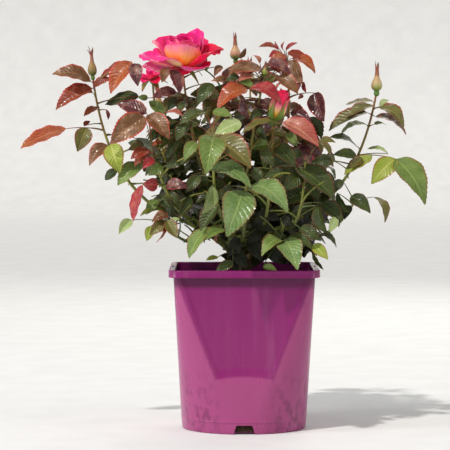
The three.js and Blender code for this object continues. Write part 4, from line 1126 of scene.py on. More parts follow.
# %% Table of aimed leaflets
LEAF_DISTANCE = 3060
PIXELS_A_MM = FOCAL_PIXELS / LEAF_DISTANCE
AIMED_BLADES = {
    "dark": [
        (139, 97, 104.5, 104, 13, -20, -10), (118, 170.8, 104.3, 179.7, 9, -30, -20),
        (170, 207, 161, 196, 12, -60, -50), (167, 193, 180, 209, 10, -50, -60),
        (218, 205, 200.5, 230.6, 14, -92, -100), (198, 232, 193, 246, 6, -70, -76),
        (233, 262, 216, 271, 9, -92, -96), (213, 84, 197, 103, 13, -60, -72),
        (206, 112, 179, 123, 9, -72, -84), (187, 104, 176, 110, 7, -50, -60),
        (144, 148, 128, 142, 8, -30, -24), (157, 130, 150, 141, 9, -44, -52),
        (180, 160, 166, 168, 10, -60, -70), (190, 120, 176, 140, 11, -60, -72),
        (199, 176, 186, 192, 11, -80, -90), (190, 196, 180, 214, 10, -60, -66),
        (176, 142, 168, 156, 9, -52, -60), (176, 98, 168, 110, 9, -34, -42),
        (200, 122, 184, 126, 9, -40, -48), (297, 168, 335.4, 198.4, 16, -64, -84),
        (283, 172, 264.5, 177, 11, -70, -80), (302, 172, 284, 190, 16, -60, -76),
        (330, 160, 311, 163, 14, -30, -36), (357, 158, 333, 155, 10, -20, -30),
        (356, 146, 330, 136, 6, -14, -22), (342, 180, 332, 193, 9, -34, -40),
        (337, 193, 349, 213, 8, -40, -50), (351, 196, 370.5, 212, 13, -36, -50),
        (322, 203, 343, 221, 14, -60, -72), (318, 206, 327, 234, 11, -72, -82),
        (300, 228, 321, 240, 13, -70, -80), (287, 238, 312, 247, 10, -102, -130),
        (312, 250, 323.5, 270, 4, -64, -72), (322, 233, 337, 247, 3, -60, -66),
        (275, 145, 296, 167, 14, -66, -78), (300, 150, 288, 160, 10, -50, -58),
        (262, 150, 274, 166, 11, -72, -80), (262, 110, 250, 120, 9, -56, -66),
        (230, 100, 220, 92, 8, -40, -36), (258, 128, 266, 140, 9, -60, -68),
        (254, 168, 262, 184, 11, -80, -88), (232, 186, 222, 200, 12, -84, -92),
        (240, 79, 225, 80, 7, -52, -60), (268, 78, 262, 92, 7, -50, -56)],
    # leaflets in the dark middle of the bush: near-black, painted shade
    "deep": [
        (275, 210, 255, 222, 12, -60, -66), (280, 218, 294, 226, 10, -56, -62),
        (265, 212, 280, 220, 11, -50, -56), (252, 224, 274, 230, 12, -46, -54),
        (310, 214, 304, 226, 9, -40, -46), (250, 240, 262, 262, 14, -40, -50),
        (240, 238, 228, 256, 13, -60, -66), (270, 250, 284, 264, 13, -44, -50),
        (236, 250, 246, 268, 13, -50, -58), (296, 250, 284, 264, 12, -36, -40),
        (262, 228, 246, 244, 13, -36, -44), (286, 222, 300, 236, 12, -30, -36)],
    "green": [
        (148, 98, 138, 97, 6, -30, -30), (141.9, 163.1, 117.3, 184.2, 13, -40, -56),
        (211, 227.5, 187.8, 257, 5, -86, -100), (225, 230, 206, 239, 8, -96, -124),
        (213.5, 137, 206.4, 171.5, 27, -108, -146), (163, 113, 149, 101, 10, -40, -30),
        (213, 111, 232, 116, 9, -78, -90), (162, 166, 149, 175, 12, -56, -66),
        (196, 142, 184, 160, 11, -76, -86), (232, 148, 246, 140, 8, -70, -60),
        (158, 200, 146, 214, 9, -50, -60), (281, 240, 262, 253, 10, -110, -142),
        (263, 267, 277, 271, 6, -90, -96), (396, 159, 426.5, 203, 15, -18, -40),
        (287, 133, 297, 146, 9, -50, -60), (240, 80, 254, 88, 7, -54, -60)],
    "spotted": [
        (243, 191, 227.5, 234.7, 32, -118, -166), (252, 185, 288, 208.6, 16, -112, -156),
        (209, 169, 251, 184, 13, -104, -140), (285, 240, 297.5, 267, 19, -116, -160)],
    # light green blades whose paleness is partly a painted sheen where they catch the light
    "pale": [
        (170, 220, 179.6, 219.4, 4, -76, -84), (131.6, 220, 119, 233.7, 9, -50, -60),
        (212, 186, 202.5, 214, 12, -108, -118), (241, 122, 215, 133.5, 14, -86, -98),
        (388, 154, 367, 148, 3, -6, 0), (335, 217, 329, 232, 9, -76, -84),
        (365.6, 124.4, 339.5, 133.3, 5, -8, -4), (374, 124.4, 386.7, 124.4, 3, -4, 0),
        (380, 106.5, 388.6, 99.5, 4, -2, 2)],
    "young": [
        (111, 144, 119.4, 172.5, 20, -44, -60), (151, 226, 147, 241, 9, -76, -80),
        (163, 210, 140, 215.5, 5, -56, -66), (218, 257, 206, 260, 4, -80, -86),
        (372, 156, 344, 174, 8, -18, -30), (395, 158.6, 371.6, 183, 18, -16, -34),
        (313, 245, 328, 259, 11, -70, -80)],
    "olive": [
        (87, 128, 77.5, 151, 17, -32, -44), (165, 221, 150, 235, 12, -72, -84),
        (167, 220, 177, 238, 12, -80, -92), (216, 139, 251, 166.5, 19, -98, -132),
        (143, 146, 128, 150, 8, -44, -50), (318, 144, 335, 141, 6, -30, -36),
        (362, 158, 350, 168, 9, -24, -34), (373, 197, 387, 221, 8, -24, -34),
        (283, 126, 241, 131, 5, -80, -92), (280, 138, 268, 150, 10, -60, -70),
        (263, 86, 276, 76, 9, -44, -50), (372.6, 101.4, 344.6, 104.6, 5, 4, 14),
        (375, 106.5, 346.5, 115.5, 7, -8, -18), (367.6, 113, 328.6, 130.8, 7, -12, -24),
        (379, 107.8, 405, 124.4, 9, -10, -24)],
    "bronze": [
        (90.7, 81.7, 52.8, 71.9, 14, -24, -34), (144.7, 116.8, 110.3, 143.5, 23, -58, -70),
        (148.2, 114.7, 169.3, 137.9, 14, -62, -80), (107.5, 144.9, 88.6, 164.5, 11, -36, -46),
        (125, 66, 107, 70, 7, -10, 0), (168, 215, 152, 221, 8, -70, -80), (166, 68, 162, 82, 10, -50, -62),
        (292, 60, 303, 84, 14, -34, -48), (278, 76, 298, 93, 12, -50, -64), (261, 68, 228, 69, 12, -44, -58),
        (235, 78, 222, 90, 9, -40, -50), (240, 58, 246, 48, 5, -20, -24), (228, 84, 212, 80, 8, -44, -56),
        (282, 70, 292, 78, 8, -30, -36), (222, 66, 214, 76, 6, -40, -46), (375, 116.7, 407, 132, 6, -8, -22)],
    "orange": [
        (99.8, 107.7, 83.7, 115.4, 5, -20, -32), (66.1, 128.7, 19.8, 147.7, 11.5, -30, -42),
        (132, 62, 110, 93, 11, -40, -52), (151.7, 144.9, 164.3, 142.8, 5, -54, -60),
        (150.3, 151.9, 134.2, 165.2, 7, -56, -66), (164, 221, 157, 243, 3, -78, -84),
        (219, 225, 216, 244, 3, -90, -96), (291, 58.7, 315.9, 70.8, 8, -20, -32),
        (287, 57, 269, 60.5, 8, -28, -36), (247, 89, 216, 108, 13, -62, -78),
        (381.6, 106.5, 401.4, 107, 5, 0, 8)],
    "red": [
        (92.8, 88.8, 55.6, 109.8, 13, -28, -40), (92.8, 93, 73.8, 98.6, 5, -12, 0),
        (93, 88.5, 113, 79, 9, -18, -30), (106.8, 109.8, 108.2, 119.6, 3.5, -24, -30),
        (84, 126, 90, 121, 4, -28, -20), (118, 70, 99, 80, 7, -24, -16),
        (149, 149.8, 130.7, 158.2, 9, -60, -72), (277, 49, 259, 46.5, 6, -14, -24),
        (288.5, 51.7, 308.3, 60.6, 8, -16, -26), (303, 95, 298, 99, 4, -20, -24),
        (269, 66, 281, 73, 6, -38, -46), (263, 87, 274, 91, 4, -58, -62), (258, 70, 244, 76, 5, -46, -54)],
    "crimson": [
        (153, 158.2, 142.6, 168.7, 9, -64, -76), (158, 185, 143, 184, 13, -68, -76),
        (142.6, 184.9, 132.8, 221.3, 10.5, -76, -84), (279.5, 49, 275, 41, 3, -4, 0),
        (284, 50.4, 283.7, 41.5, 2, -6, -8), (286, 51, 297.4, 42.8, 4, -6, -12),
        (281, 53, 269, 56.5, 7, -22, -34), (303, 82, 306, 92.5, 4, -40, -46),
        (249.6, 88.5, 282, 101.5, 11, -70, -84)],
    "purple": [
        (146.8, 113.3, 116.6, 102.8, 14, -52, -46), (134.9, 63.5, 137.7, 85.2, 14, -48, -60),
        (166.4, 185.6, 187.5, 187, 11, -84, -96), (177, 93, 152, 98, 10, -36, -46),
        (171, 70, 179.5, 94, 12, -48, -62), (269, 61, 290.5, 73, 10, -44, -56),
        (291, 112, 311, 121.5, 11, -46, -58), (315, 93, 324, 121.5, 17, -16, -34),
        (243, 98, 248, 118, 8, -50, -58), (262, 76, 268, 88, 8, -40, -46), (300, 81, 297, 92, 5, -44, -48)],
    # pink bronze blades whose pale pinkish tone is partly a painted sheen
    "pink": [
        (166, 113, 184, 116, 4, -66, -78), (253, 74, 238, 81, 8, -50, -60),
        (283, 122, 319, 145, 15, -78, -96), (260, 63, 254, 55, 4, -40, -44), (276, 89, 282, 82, 3, -56, -60)],
}
sprays = {tint: Spray() for tint in ("dark", "deep", "green", "spotted", "pale", "young", "olive", "bronze",
                                     "orange", "red", "crimson", "purple", "pink")}
print("aimed leaflets:", sum(len(rows) for rows in AIMED_BLADES.values()))

# %% [markdown]
# ## Setting the aimed leaflets
# The aimed leaflets come first. The root, the tip and the turn of each follow from its row
# of the table, a seeded draw takes its mould, and a thin stalk joins it to the nearest wood.

# %% Set the aimed leaflets
AIMED_SEED = 4711
AIMED_THINNESS = 0.85
STALK_FOOT_RADIUS, STALK_TIP_RADIUS, STALK_SWELL = 1.05, 0.6, 0.8
PLACES_A_SHOOT = 25
DOWNWARD_COST = 0.6
STEEP = 0.8

stalk_mesh, twig_mesh = bmesh.new(), bmesh.new()
taken = []


def seen_at(column, row, depth):
    """The place in the frame at this depth that the camera sees at this pixel."""
    lens = Vector(((column - PICTURE_WIDTH / 2) / FOCAL_PIXELS, (PICTURE_WIDTH / 2 - row) / FOCAL_PIXELS, -1))
    ray = Matrix.Rotation(CAMERA_TILT, 3, "X") @ lens
    start = Vector(CAMERA_PLACE) / MM
    return start + ray * (depth - start.y) / ray.y


def set_blade(tint, mould, root, tip, normal, breadth=1.0):
    sprays[tint].add(mould, root, tip, normal, breadth)
    taken.append(((root + tip) / 2, (tip - root).length))


def grow_stalk(stalk, thin=1.0):
    """A stalk swells at its foot, where it clasps the shoot."""
    def radius_at(share):
        return thin * (STALK_SWELL * (1 - share) ** 8 + mix_of(STALK_FOOT_RADIUS, STALK_TIP_RADIUS, share))
    tube(stalk_mesh, stalk, radius_at, sides=5, steps=6)


shoot_places = [wood.place(i / PLACES_A_SHOOT) for wood in shoots.values() for i in range(1, PLACES_A_SHOOT)]


def nearest_wood(point):
    """The place on a shoot from which a stalk reaches this point with the least length."""
    def cost(place):
        return (point - place).length + DOWNWARD_COST * max(0.0, place.z - point.z)
    return min(shoot_places, key=cost)


def turned_to_view(way, on_edge, draw):
    """The upper side of an aimed blade, turned away from the viewer by this angle."""
    if abs(way.z) <= STEEP:
        return square_to(way, Vector((0, -math.cos(on_edge), math.sin(on_edge))))
    side = Matrix.Rotation(on_edge if draw() > 0.5 else -on_edge, 3, way) @ Vector((0, -1, 0))
    return square_to(way, side)


draw = seeded_draw(AIMED_SEED)
for tint, rows in AIMED_BLADES.items():
    for column, row, tip_column, tip_row, pixels_wide, depth, tip_depth in rows:
        root, tip = seen_at(column, row, depth), seen_at(tip_column, tip_row, tip_depth)
        seen_width = pixels_wide / PIXELS_A_MM
        full_width = BLADE_WIDTH * (tip - root).length
        breadth = max(1.0, seen_width / full_width)
        on_edge = math.acos(min(1.0, seen_width / (full_width * breadth)))
        normal = turned_to_view((tip - root).normalized(), on_edge, draw)
        set_blade(tint, AIMED_MOULDS[int(draw() * len(AIMED_MOULDS))], root, tip, normal, breadth)
        grow_stalk(arched_stalk(nearest_wood(root), root), AIMED_THINNESS)
print("aimed leaflets set:", len(taken))

# %% [markdown]
# ## Setting the leaves of the rule
# A blade of the rule is kept where it stays inside the outline of the crown, which a short
# table gives as a left and a right edge by height, does not stand in front of the aimed
# ones, and does not lie on a blade that is already there. The shoots and their thorns come
# first, then the side twigs with their smaller leaves.

# %% Set the leaves of the rule
CROWN_EDGES = [
    # height, left edge, right edge
    (200, -30, 100), (240, -30, 105), (260, -73, 123), (280, -115, 132), (307, -120, 143),
    (334, -140, 143), (361, -150, 143), (388, -140, 116), (409, -133, 110), (429, -133, 92),
    (449, -127, 84), (469, -25, 84), (496, -5, 80), (517, 24, 70), (540, 40, 60),
]
AIMED_FRONT = -42
ROOM = 0.22
TWIGS_A_SHOOT = 4
TWIG_LENGTH = 52
TWIG_LEAVES = 3
TWIG_STALK_LENGTH, TWIG_BLADE_LENGTH = 36, 42
TWIG_THINNESS = 0.8
TWIG_TURN_SPREAD = 40
TWIG_OUT, TWIG_LEAST_RISE, TWIG_RISE_SPREAD = 0.7, 0.2, 0.5
FIRST_TWIG_AT, LAST_TWIG_AT = 0.08, 0.7
SHOOT_SEED, TWIG_SEED = 900, 300
SHOOT_THORNS = 9
SHOOT_FOOT_RADIUS, SHOOT_TIP_RADIUS = 2.4, 1.35
TWIG_FOOT_RADIUS, TWIG_TIP_RADIUS = 1.4, 0.9
TWIG_FIRST_TURN = 60
STIPULE_LENGTH = 9
STIPULE_SPREAD = 0.4


def in_crown(point):
    for (low, left_low, right_low), (high, left_high, right_high) in zip(CROWN_EDGES, CROWN_EDGES[1:]):
        if low <= point.z < high:
            share = (point.z - low) / (high - low)
            return mix_of(left_low, left_high, share) < point.x < mix_of(right_low, right_high, share)
    return False


def has_room(root, tip):
    middle, size = (root + tip) / 2, (tip - root).length
    if middle.y < AIMED_FRONT or not in_crown(tip) or not in_crown(middle):
        return False
    return all((middle - other).length > ROOM * (size + other_size) for other, other_size in taken)


def set_leaves(palette, draw, thin, leaves):
    """Sets each compound leaf that keeps its end blade, or at least two others."""
    for stalk, blades in leaves:
        tint = tint_for(palette, stalk.place(0).z, draw)
        kept = [blade for blade in blades if has_room(blade[0], blade[1])]
        if not kept or (kept[0] is not blades[0] and len(kept) < 2):
            continue
        grow_stalk(stalk, thin)
        for blade in kept:
            set_blade(tint, RULE_MOULDS[int(draw() * len(RULE_MOULDS))], *blade)
        foot, way = stalk.place(0), stalk.way(0.1)
        across = way.cross(UP).normalized()
        for side in (1, -1):
            end = foot + (way + across * STIPULE_SPREAD * side) * STIPULE_LENGTH * thin
            sprays[tint].add(STIPULE_MOULD, foot, end, UP)


for name, limb in LIMBS.items():
    wood = shoots[name]
    draw = seeded_draw(limb.seed + SHOOT_SEED)
    tube(twig_mesh, wood, tapering(SHOOT_FOOT_RADIUS, SHOOT_TIP_RADIUS), sides=9, steps=16)
    for thorn in range(SHOOT_THORNS):
        prickle(twig_mesh, wood, 0.05 + 0.85 * draw(), ALL_ROUND * draw(), 1.6, 2.6 + 1.6 * draw())
    leaves = drawn_leaves(wood, limb.leaves, limb.first_turn, seeded_draw(limb.seed), STALK_LENGTH,
                          BLADE_LENGTH)
    set_leaves(limb.palette, draw, 1.0, leaves)
for name, limb in LIMBS.items():
    draw = seeded_draw(limb.seed + TWIG_SEED)
    for i in range(TWIGS_A_SHOOT):
        foot = shoots[name].place(mix_of(FIRST_TWIG_AT, LAST_TWIG_AT, i / (TWIGS_A_SHOOT - 1)))
        turn = limb.first_turn + LEAF_TURN / 2 + LEAF_TURN * i + TWIG_TURN_SPREAD * (draw() - 0.5)
        heading = heading_way(math.radians(turn))
        rise = TWIG_LEAST_RISE + TWIG_RISE_SPREAD * draw()
        tip = foot + heading * TWIG_LENGTH * TWIG_OUT + UP * TWIG_LENGTH * rise
        if not in_crown(tip):
            continue
        twig = arching(foot, heading, tip)
        tube(twig_mesh, twig, tapering(TWIG_FOOT_RADIUS, TWIG_TIP_RADIUS), sides=7, steps=8)
        first_turn = limb.first_turn + TWIG_FIRST_TURN * i
        leaves = drawn_leaves(twig, TWIG_LEAVES, first_turn, draw, TWIG_STALK_LENGTH, TWIG_BLADE_LENGTH)
        set_leaves(limb.palette, draw, TWIG_THINNESS, leaves)
print("blades in all:", len(taken))

# %% [markdown]
# ## Finish of the leaves
# A rose leaf is leathery and glossy. The midrib and the side veins run a little paler, and
# the skin between them bulges, which breaks the shine into small panes. Both follow the
# blade's own UV map: the side veins are slanted bands, so the leaf's length minus the
# distance from the midrib, taken many times over, gives them. Young leaves have a red rim.
# Some leaves are wet, which pale drops show. On the young ones pale pinkish patches are a
# painted sheen, and a clear coat of the same strength gives them real gloss.

# %% Leaf material
SIDE_VEINS = 9.0
LEAF_LOOKS = {
    # name, two body colours, veins, rim, roughness, how wet, strength of the painted sheen and the coat
    # the deep tint: near-black, painted shade for leaves inside the bush
    "deep": ("shaded leaf", "151a0a", "20260f", "2b3318", "2a1c0e", 0.5, 0, 0),
    "dark": ("deep green leaf", "2f3a17", "434f22", "5e6c33", "5a3a20", 0.38, 0, 0),
    "green": ("green leaf", "5d7233", "748844", "96a65a", "7c6632", 0.4, 0, 0),
    "spotted": ("wet green leaf", "5a7639", "758c4e", "9aaa66", "7c6a40", 0.32, 0.35, 0),
    # pale: light green, and partly a painted sheen
    "pale": ("pale green leaf", "8c9f58", "a6b47a", "ccd29e", "a0a068", 0.36, 0.25, 0),
    "young": ("yellow green leaf", "84962e", "9ca548", "c6c870", "946830", 0.4, 0, 0),
    "olive": ("olive leaf", "585524", "6e6a32", "968848", "8a3e2a", 0.36, 0, 0.06),
    "bronze": ("bronze leaf", "5f3c22", "785331", "9e6f48", "ae3c2a", 0.32, 0, 0.24),
    "orange": ("orange leaf", "8c3a18", "9e5026", "c07444", "b03424", 0.34, 0, 0.16),
    "red": ("red brown leaf", "742614", "883a20", "ad5636", "a82a22", 0.32, 0, 0.16),
    "crimson": ("crimson leaf", "8a2028", "a1302f", "bc5048", "8c1a20", 0.36, 0, 0.14),
    "purple": ("burgundy leaf", "471f26", "603132", "8a4c48", "9a2a30", 0.3, 0, 0.28),
    # pink: pink bronze, and partly a painted sheen
    "pink": ("pink bronze leaf", "9c4a3e", "b46c56", "d2987a", "a43238", 0.34, 0, 0.24),
}


def leaf_finish(name, body, second, vein, rim, roughness, wet, painted_sheen_and_coat):
    skin = Finish(name, roughness, 0.36)
    place = skin.place()
    across, along, _ = skin.axes(skin.own_uv())
    off_rib = skin.from_middle(across)
    slant = skin.maths("SUBTRACT", along, skin.maths("MULTIPLY", off_rib, 0.5))
    band = skin.from_middle(skin.maths("FRACT", skin.maths("MULTIPLY", slant, SIDE_VEINS)))
    color = skin.blend(skin.ramp(skin.noise(place, 60, 4), (0.36, 0), (0.66, 1)), body, second)
    color = skin.blend(skin.ramp(band, (0.0, 0.3), (0.08, 0.0)), color, vein)
    color = skin.blend(skin.ramp(off_rib, (0.0, 0.85), (0.016, 0.6), (0.036, 0.0)), color, vein)
    color = skin.blend(skin.ramp(off_rib, (0.42, 0.0), (0.47, 1.0)), color, rim)
    if wet:
        color = skin.blend(skin.ramp(skin.noise(place, 760, 2), (0.54, 0.0), (0.64, wet)), color, "a4bc94")
    if painted_sheen_and_coat:
        # pale pinkish patches: a painted sheen
        color = skin.blend(skin.ramp(skin.noise(place, 95, 5), (0.5, 0.0), (0.68, painted_sheen_and_coat)), color, "d4a88c")
        skin.set_shader({"Coat Weight": painted_sheen_and_coat, "Coat Roughness": 0.24})
    drops = skin.noise(place, 210, 3)
    rough = skin.ramp(drops, (0.36, max(0.12, roughness - 0.16)), (0.64, roughness + 0.14))
    skin.wire(rough, skin.shader["Roughness"])
    pillow = skin.ramp(band, (0.0, 0.0), (0.32, 1.0))
    return skin.cover(color, skin.blend(0.4, pillow, drops), 0.5, 0.0014)


for tint, spray in sprays.items():
    finish_piece(spray.joined(tint), tint + "_leaves", [leaf_finish(*LEAF_LOOKS[tint])], crisp=180)

# %% [markdown]
# ## Shoots, twigs and stalks
# The wood that carries the leaves is still green: dark low down, yellow-green higher up, and
# reddish where the sun reaches it near the top. The height and a slow noise give that.

# %% Finish of the green wood
def green_wood(name, low, middle, high, start, stop):
    """start and stop: the heights in metres between which the wood turns reddish."""
    skin = Finish(name, 0.42, 0.45)
    place = skin.place()
    height = skin.axes(place)["Z"]
    patches = skin.ramp(skin.noise(place, 38, 3), (0.4, 0.25), (0.65, 1.0))
    share = skin.times(skin.ramp(height, (start, 0), (stop, 1)), patches)
    stripes = skin.noise(skin.stretched(place, (420, 420, 90)), 1.0, 3)
    color = skin.blend(share, skin.ramp(height, (start - 0.09, low), (start - 0.01, middle)), high)
    color = skin.times(color, skin.ramp(stripes, (0.3, 0.72), (0.7, 1.15)))
    return skin.cover(color, stripes, 0.25, 0.0006)


shoot_finish = green_wood("green shoot", "39421b", "868a3a", "9a5c34", 0.34, 0.42)
stalk_finish = green_wood("leaf stalk", "3c4a20", "677638", "8e3a2c", 0.31, 0.41)
for mesh in (twig_mesh, stalk_mesh):
    bmesh.ops.recalc_face_normals(mesh, faces=mesh.faces)
finish_piece(twig_mesh, "shoots_and_twigs", [shoot_finish],
             replaces=[name + "_shoot" for name in LIMBS])
finish_piece(stalk_mesh, "leaf_stalks", [stalk_finish])

# %% [markdown]
# ## One petal
# A petal starts narrow, broadens, and ends in a soft point. It leaves the flower's axis at
# one angle and bends on the way, so its middle line is found by walking along it in small
# steps. Across, it wraps round the flower like a shell. A grid is laid on that form and its
# rim is ruffled a little. A thin wall then gives it an outer and an inner face, because the
# outside of these petals is pale apricot and the inside a hot pink.

# %% Bend a grid into a petal
PETAL_STEPS = 60
SEPALS = 5
SEPAL_TURN = 360 // SEPALS
# how the half width falls off to the tip: the fall's power, the rounding power, the least half width
BROAD_PETAL = (2.6, 0.5, 0.6)
TAILED_SEPAL = (1.1, 1.2, 0.4)


def lean_at(leans, t):
    spot = min(max(t, 0.0), 1.0) * (len(leans) - 1)
    low = min(int(spot), len(leans) - 2)
    return math.radians(mix_of(leans[low], leans[low + 1], spot - low))


def walk_along(leans, length, foot):
    """The middle line of a petal: how far from the axis and how high it is after each step."""
    step_length = length / PETAL_STEPS
    walk = [(foot, 0.0)]
    for step in range(PETAL_STEPS):
        angle = lean_at(leans, (step + 0.5) / PETAL_STEPS)
        away, high = walk[-1]
        walk.append((away + math.sin(angle) * step_length, high + math.cos(angle) * step_length))
    return walk


def petal_half_width(t, width, broadest, taper):
    fall, rounding, least = taper
    far = max(0.0, t - broadest) / (1.04 - broadest)
    near = max(0.0, broadest - t) / (broadest + 0.03)
    return 0.5 * width * max(0.0, 1 - far ** fall - near ** 2.2) ** rounding + least


def petal(bm, frame_matrix, heading, length, width, leans, cup, foot=2.0, ruffle=0.03, point=0.0,
          broadest=0.62, across=8, along=12, wall=0.5, edge_roll=0.0, seed=0, finishes=(0, 1),
          taper=BROAD_PETAL):
    """leans: angles out from the axis in degrees, foot to tip. cup: the radius that it wraps round."""
    before = set(bm.verts)
    if not bm.loops.layers.uv:
        bm.loops.layers.uv.new("UVMap")
    bmesh.ops.create_grid(bm, x_segments=across, y_segments=along, size=0.5, calc_uvs=True)
    verts = [vert for vert in bm.verts if vert not in before]
    faces = list({face for vert in verts for face in vert.link_faces})
    walk = walk_along(leans, length, foot)
    for vert in verts:
        t, s = vert.co.y + 0.5, 2 * vert.co.x
        t_here = t * (1 - 0.08 * s * s) + point * (1 - abs(s)) * t ** 4
        spot = min(max(t_here, 0.0), 1.0) * PETAL_STEPS
        low = min(int(spot), PETAL_STEPS - 1)
        away = mix_of(walk[low][0], walk[low + 1][0], spot - low)
        high = mix_of(walk[low][1], walk[low + 1][1], spot - low)
        angle = s * petal_half_width(t, width, broadest, taper) / cup
        lean = lean_at(leans, t_here)
        drop = cup * (1 - math.cos(angle))
        wave = noise.noise(Vector((s * 1.9 + seed * 3.1, t * 2.3, seed * 1.7))) * (0.3 + t)
        inward = drop - ruffle * length * wave - edge_roll * abs(s) ** 4 * t
        away, high = away - inward * math.cos(lean), high + inward * math.sin(lean)
        vert.co = Vector((away, cup * math.sin(angle), high))
    bmesh.ops.recalc_face_normals(bm, faces=faces)
    outer = sum(face.normal.dot(Vector((face.calc_center_median().x, 0, -1))) for face in faces)
    if outer < 0:
        bmesh.ops.reverse_faces(bm, faces=faces)
    walls = bmesh.ops.solidify(bm, geom=faces, thickness=wall)["geom"]
    inner = {item for item in walls if isinstance(item, bmesh.types.BMFace)}
    made = [vert for vert in bm.verts if vert not in before]
    for face in {face for vert in made for face in vert.link_faces}:
        face.material_index = finishes[1] if face in inner else finishes[0]
    turn = Matrix.Rotation(math.radians(heading), 4, "Z")
    bmesh.ops.transform(bm, matrix=frame_matrix @ turn, verts=made)


def flower_frame(name, axis, sink=0.0):
    """Puts a flower's foot at the end of its shoot. sink: how far it goes down along its axis."""
    aim = Vector(axis).normalized()
    turn = UP.rotation_difference(aim).to_matrix().to_4x4()
    return Matrix.Translation(Vector(LIMBS[name].shoot_end) - aim * sink) @ turn


print("steps along a petal:", PETAL_STEPS)

# %% [markdown]
# ## Petal and sepal finishes
# The colour of a petal runs along its length, so it follows the UV map from foot to tip:
# yellow at the foot, apricot and salmon in the middle, and hot pink at the rim. Fine veins
# fan out lengthwise, and a soft sheen gives the velvet look of a rose. The pink petals let a
# little light through.

# %% Petal material
PETAL_LOOKS = {
    # rim, where the rim starts, roughness, sheen, glow, then the colours from foot to tip
    "petal outside": ("fa3a84", 0.42, 0.42, 0.25, 0, (0, "ffb414"), (0.36, "ffb42c"), (0.56, "ffa448"),
                      (0.74, "ff987c"), (0.9, "ff86a6"), (0.99, "fa3080")),
    "petal inside": ("f00e64", 0.3, 0.42, 0.25, 0.4, (0, "ffc04a"), (0.2, "ff7a90"), (0.42, "fc3a96"),
                     (0.75, "f61678"), (1, "ee0c58")),
    "petal crimson": ("f0063c", 0.3, 0.42, 0.25, 0.4, (0, "ffa030"), (0.16, "ff5060"), (0.4, "f01058"),
                      (0.8, "f0063c"), (1, "ec0634")),
    "petal magenta": ("f61880", 0.3, 0.42, 0.25, 0.4, (0, "ffb090"), (0.25, "ff8cc0"), (0.5, "ff4cae"),
                      (0.8, "fc2294"), (1, "f61278")),
    "petal cream": ("f0145e", 0.4, 0.42, 0.25, 0, (0, "ffce50"), (0.4, "ffdf9a"), (0.7, "ffb0a0"),
                    (0.86, "f94a80"), (1, "ee0f5e")),
    "half open petal": ("f6a080", 0.34, 0.42, 0.25, 0, (0, "dc9810"), (0.34, "ffcb40"), (0.52, "ffc490"),
                        (0.68, "f4708a"), (0.84, "f02058"), (1, "e60a44")),
    "half open inner petal": ("e60a48", 0.3, 0.42, 0.25, 0, (0, "ff8a60"), (0.4, "fa3070"), (1, "e8084c")),
    "sepal": ("7d7a38", 0.4, 0.5, 0.1, 0, (0, "5f8a30"), (0.45, "74923a"), (0.75, "93803c"), (1, "93483a")),
    "sepal tail": ("8f5040", 0.4, 0.5, 0.1, 0, (0, "a07c56"), (0.4, "9a5a46"), (1, "80352c")),
    "bud skin brown": ("8f6a40", 0.44, 0.45, 0.1, 0, (0, "5f7430"), (0.16, "87784a"), (0.34, "9a7c48"),
                       (0.6, "966848"), (1, "7c3430")),
    "bud skin rosy": ("8f6a40", 0.44, 0.45, 0.1, 0, (0, "5c7a30"), (0.12, "8f8c50"), (0.24, "cf9880"),
                      (0.42, "d6b28c"), (0.64, "ba745c"), (1, "8c3c36")),
    "bud skin cream": ("8f6a40", 0.44, 0.45, 0.1, 0, (0, "74903e"), (0.14, "a0a05a"), (0.3, "bfaa7c"),
                       (0.5, "c29e74"), (0.72, "ac8258"), (1, "84493a")),
    "bud skin young": ("8f6a40", 0.44, 0.45, 0.1, 0, (0, "6f9238"), (0.3, "a2aa50"), (0.6, "b4a468"),
                       (0.8, "b8785c"), (1, "9a4a44")),
}


def petal_finish(name, rim, rim_start, roughness, sheen, glow, *stops):
    skin = Finish(name, roughness, 0.35)
    skin.set_shader({"Sheen Weight": sheen, "Sheen Roughness": 0.4, "Subsurface Weight": glow,
                     "Subsurface Radius": (1.0, 0.4, 0.4), "Subsurface Scale": 0.008})
    uv = skin.own_uv()
    across, along, _ = skin.axes(uv)
    drift = skin.maths("SUBTRACT", skin.noise(skin.place(), 70, 3), 0.5)
    color = skin.ramp(skin.maths("ADD", along, skin.maths("MULTIPLY", drift, 0.28)), *stops)
    ragged = skin.maths("ADD", skin.from_middle(across), skin.maths("MULTIPLY", drift, 0.16))
    color = skin.blend(skin.ramp(ragged, (rim_start, 0.0), (0.5, 0.9)), color, rim)
    veins = skin.noise(skin.stretched(uv, (46, 3, 1)), 1.0, 2)
    color = skin.times(color, skin.ramp(veins, (0.3, 0.86), (0.7, 1.1)))
    return skin.cover(color, veins, 0.18, 0.0006)


petals = {name: petal_finish(name, *look) for name, look in PETAL_LOOKS.items()}
hip_finish = green_wood("hip", "55803a", "55803a", "6a8a3a", 0.3, 0.6)
flower_finishes = [petals["petal outside"], petals["petal inside"], petals["petal crimson"],
                   petals["sepal"], hip_finish, petals["petal magenta"], petals["petal cream"]]
OUTSIDE, INSIDE, CRIMSON, SEPAL, HIP, MAGENTA, CREAM = range(len(flower_finishes))
print("petal finishes:", len(petals))

# %% [markdown]
# ## The open bloom
# Seen from the side, a hybrid tea is a high pointed heart wrapped in broad petals, with the
# outer ones rolled back. The flower nods a little towards the viewer. Petals are added from
# the heart outwards, each ring turned against the last so that no two line up. One broad
# petal faces the front as a cup, and a few at the sides reach out and roll over.

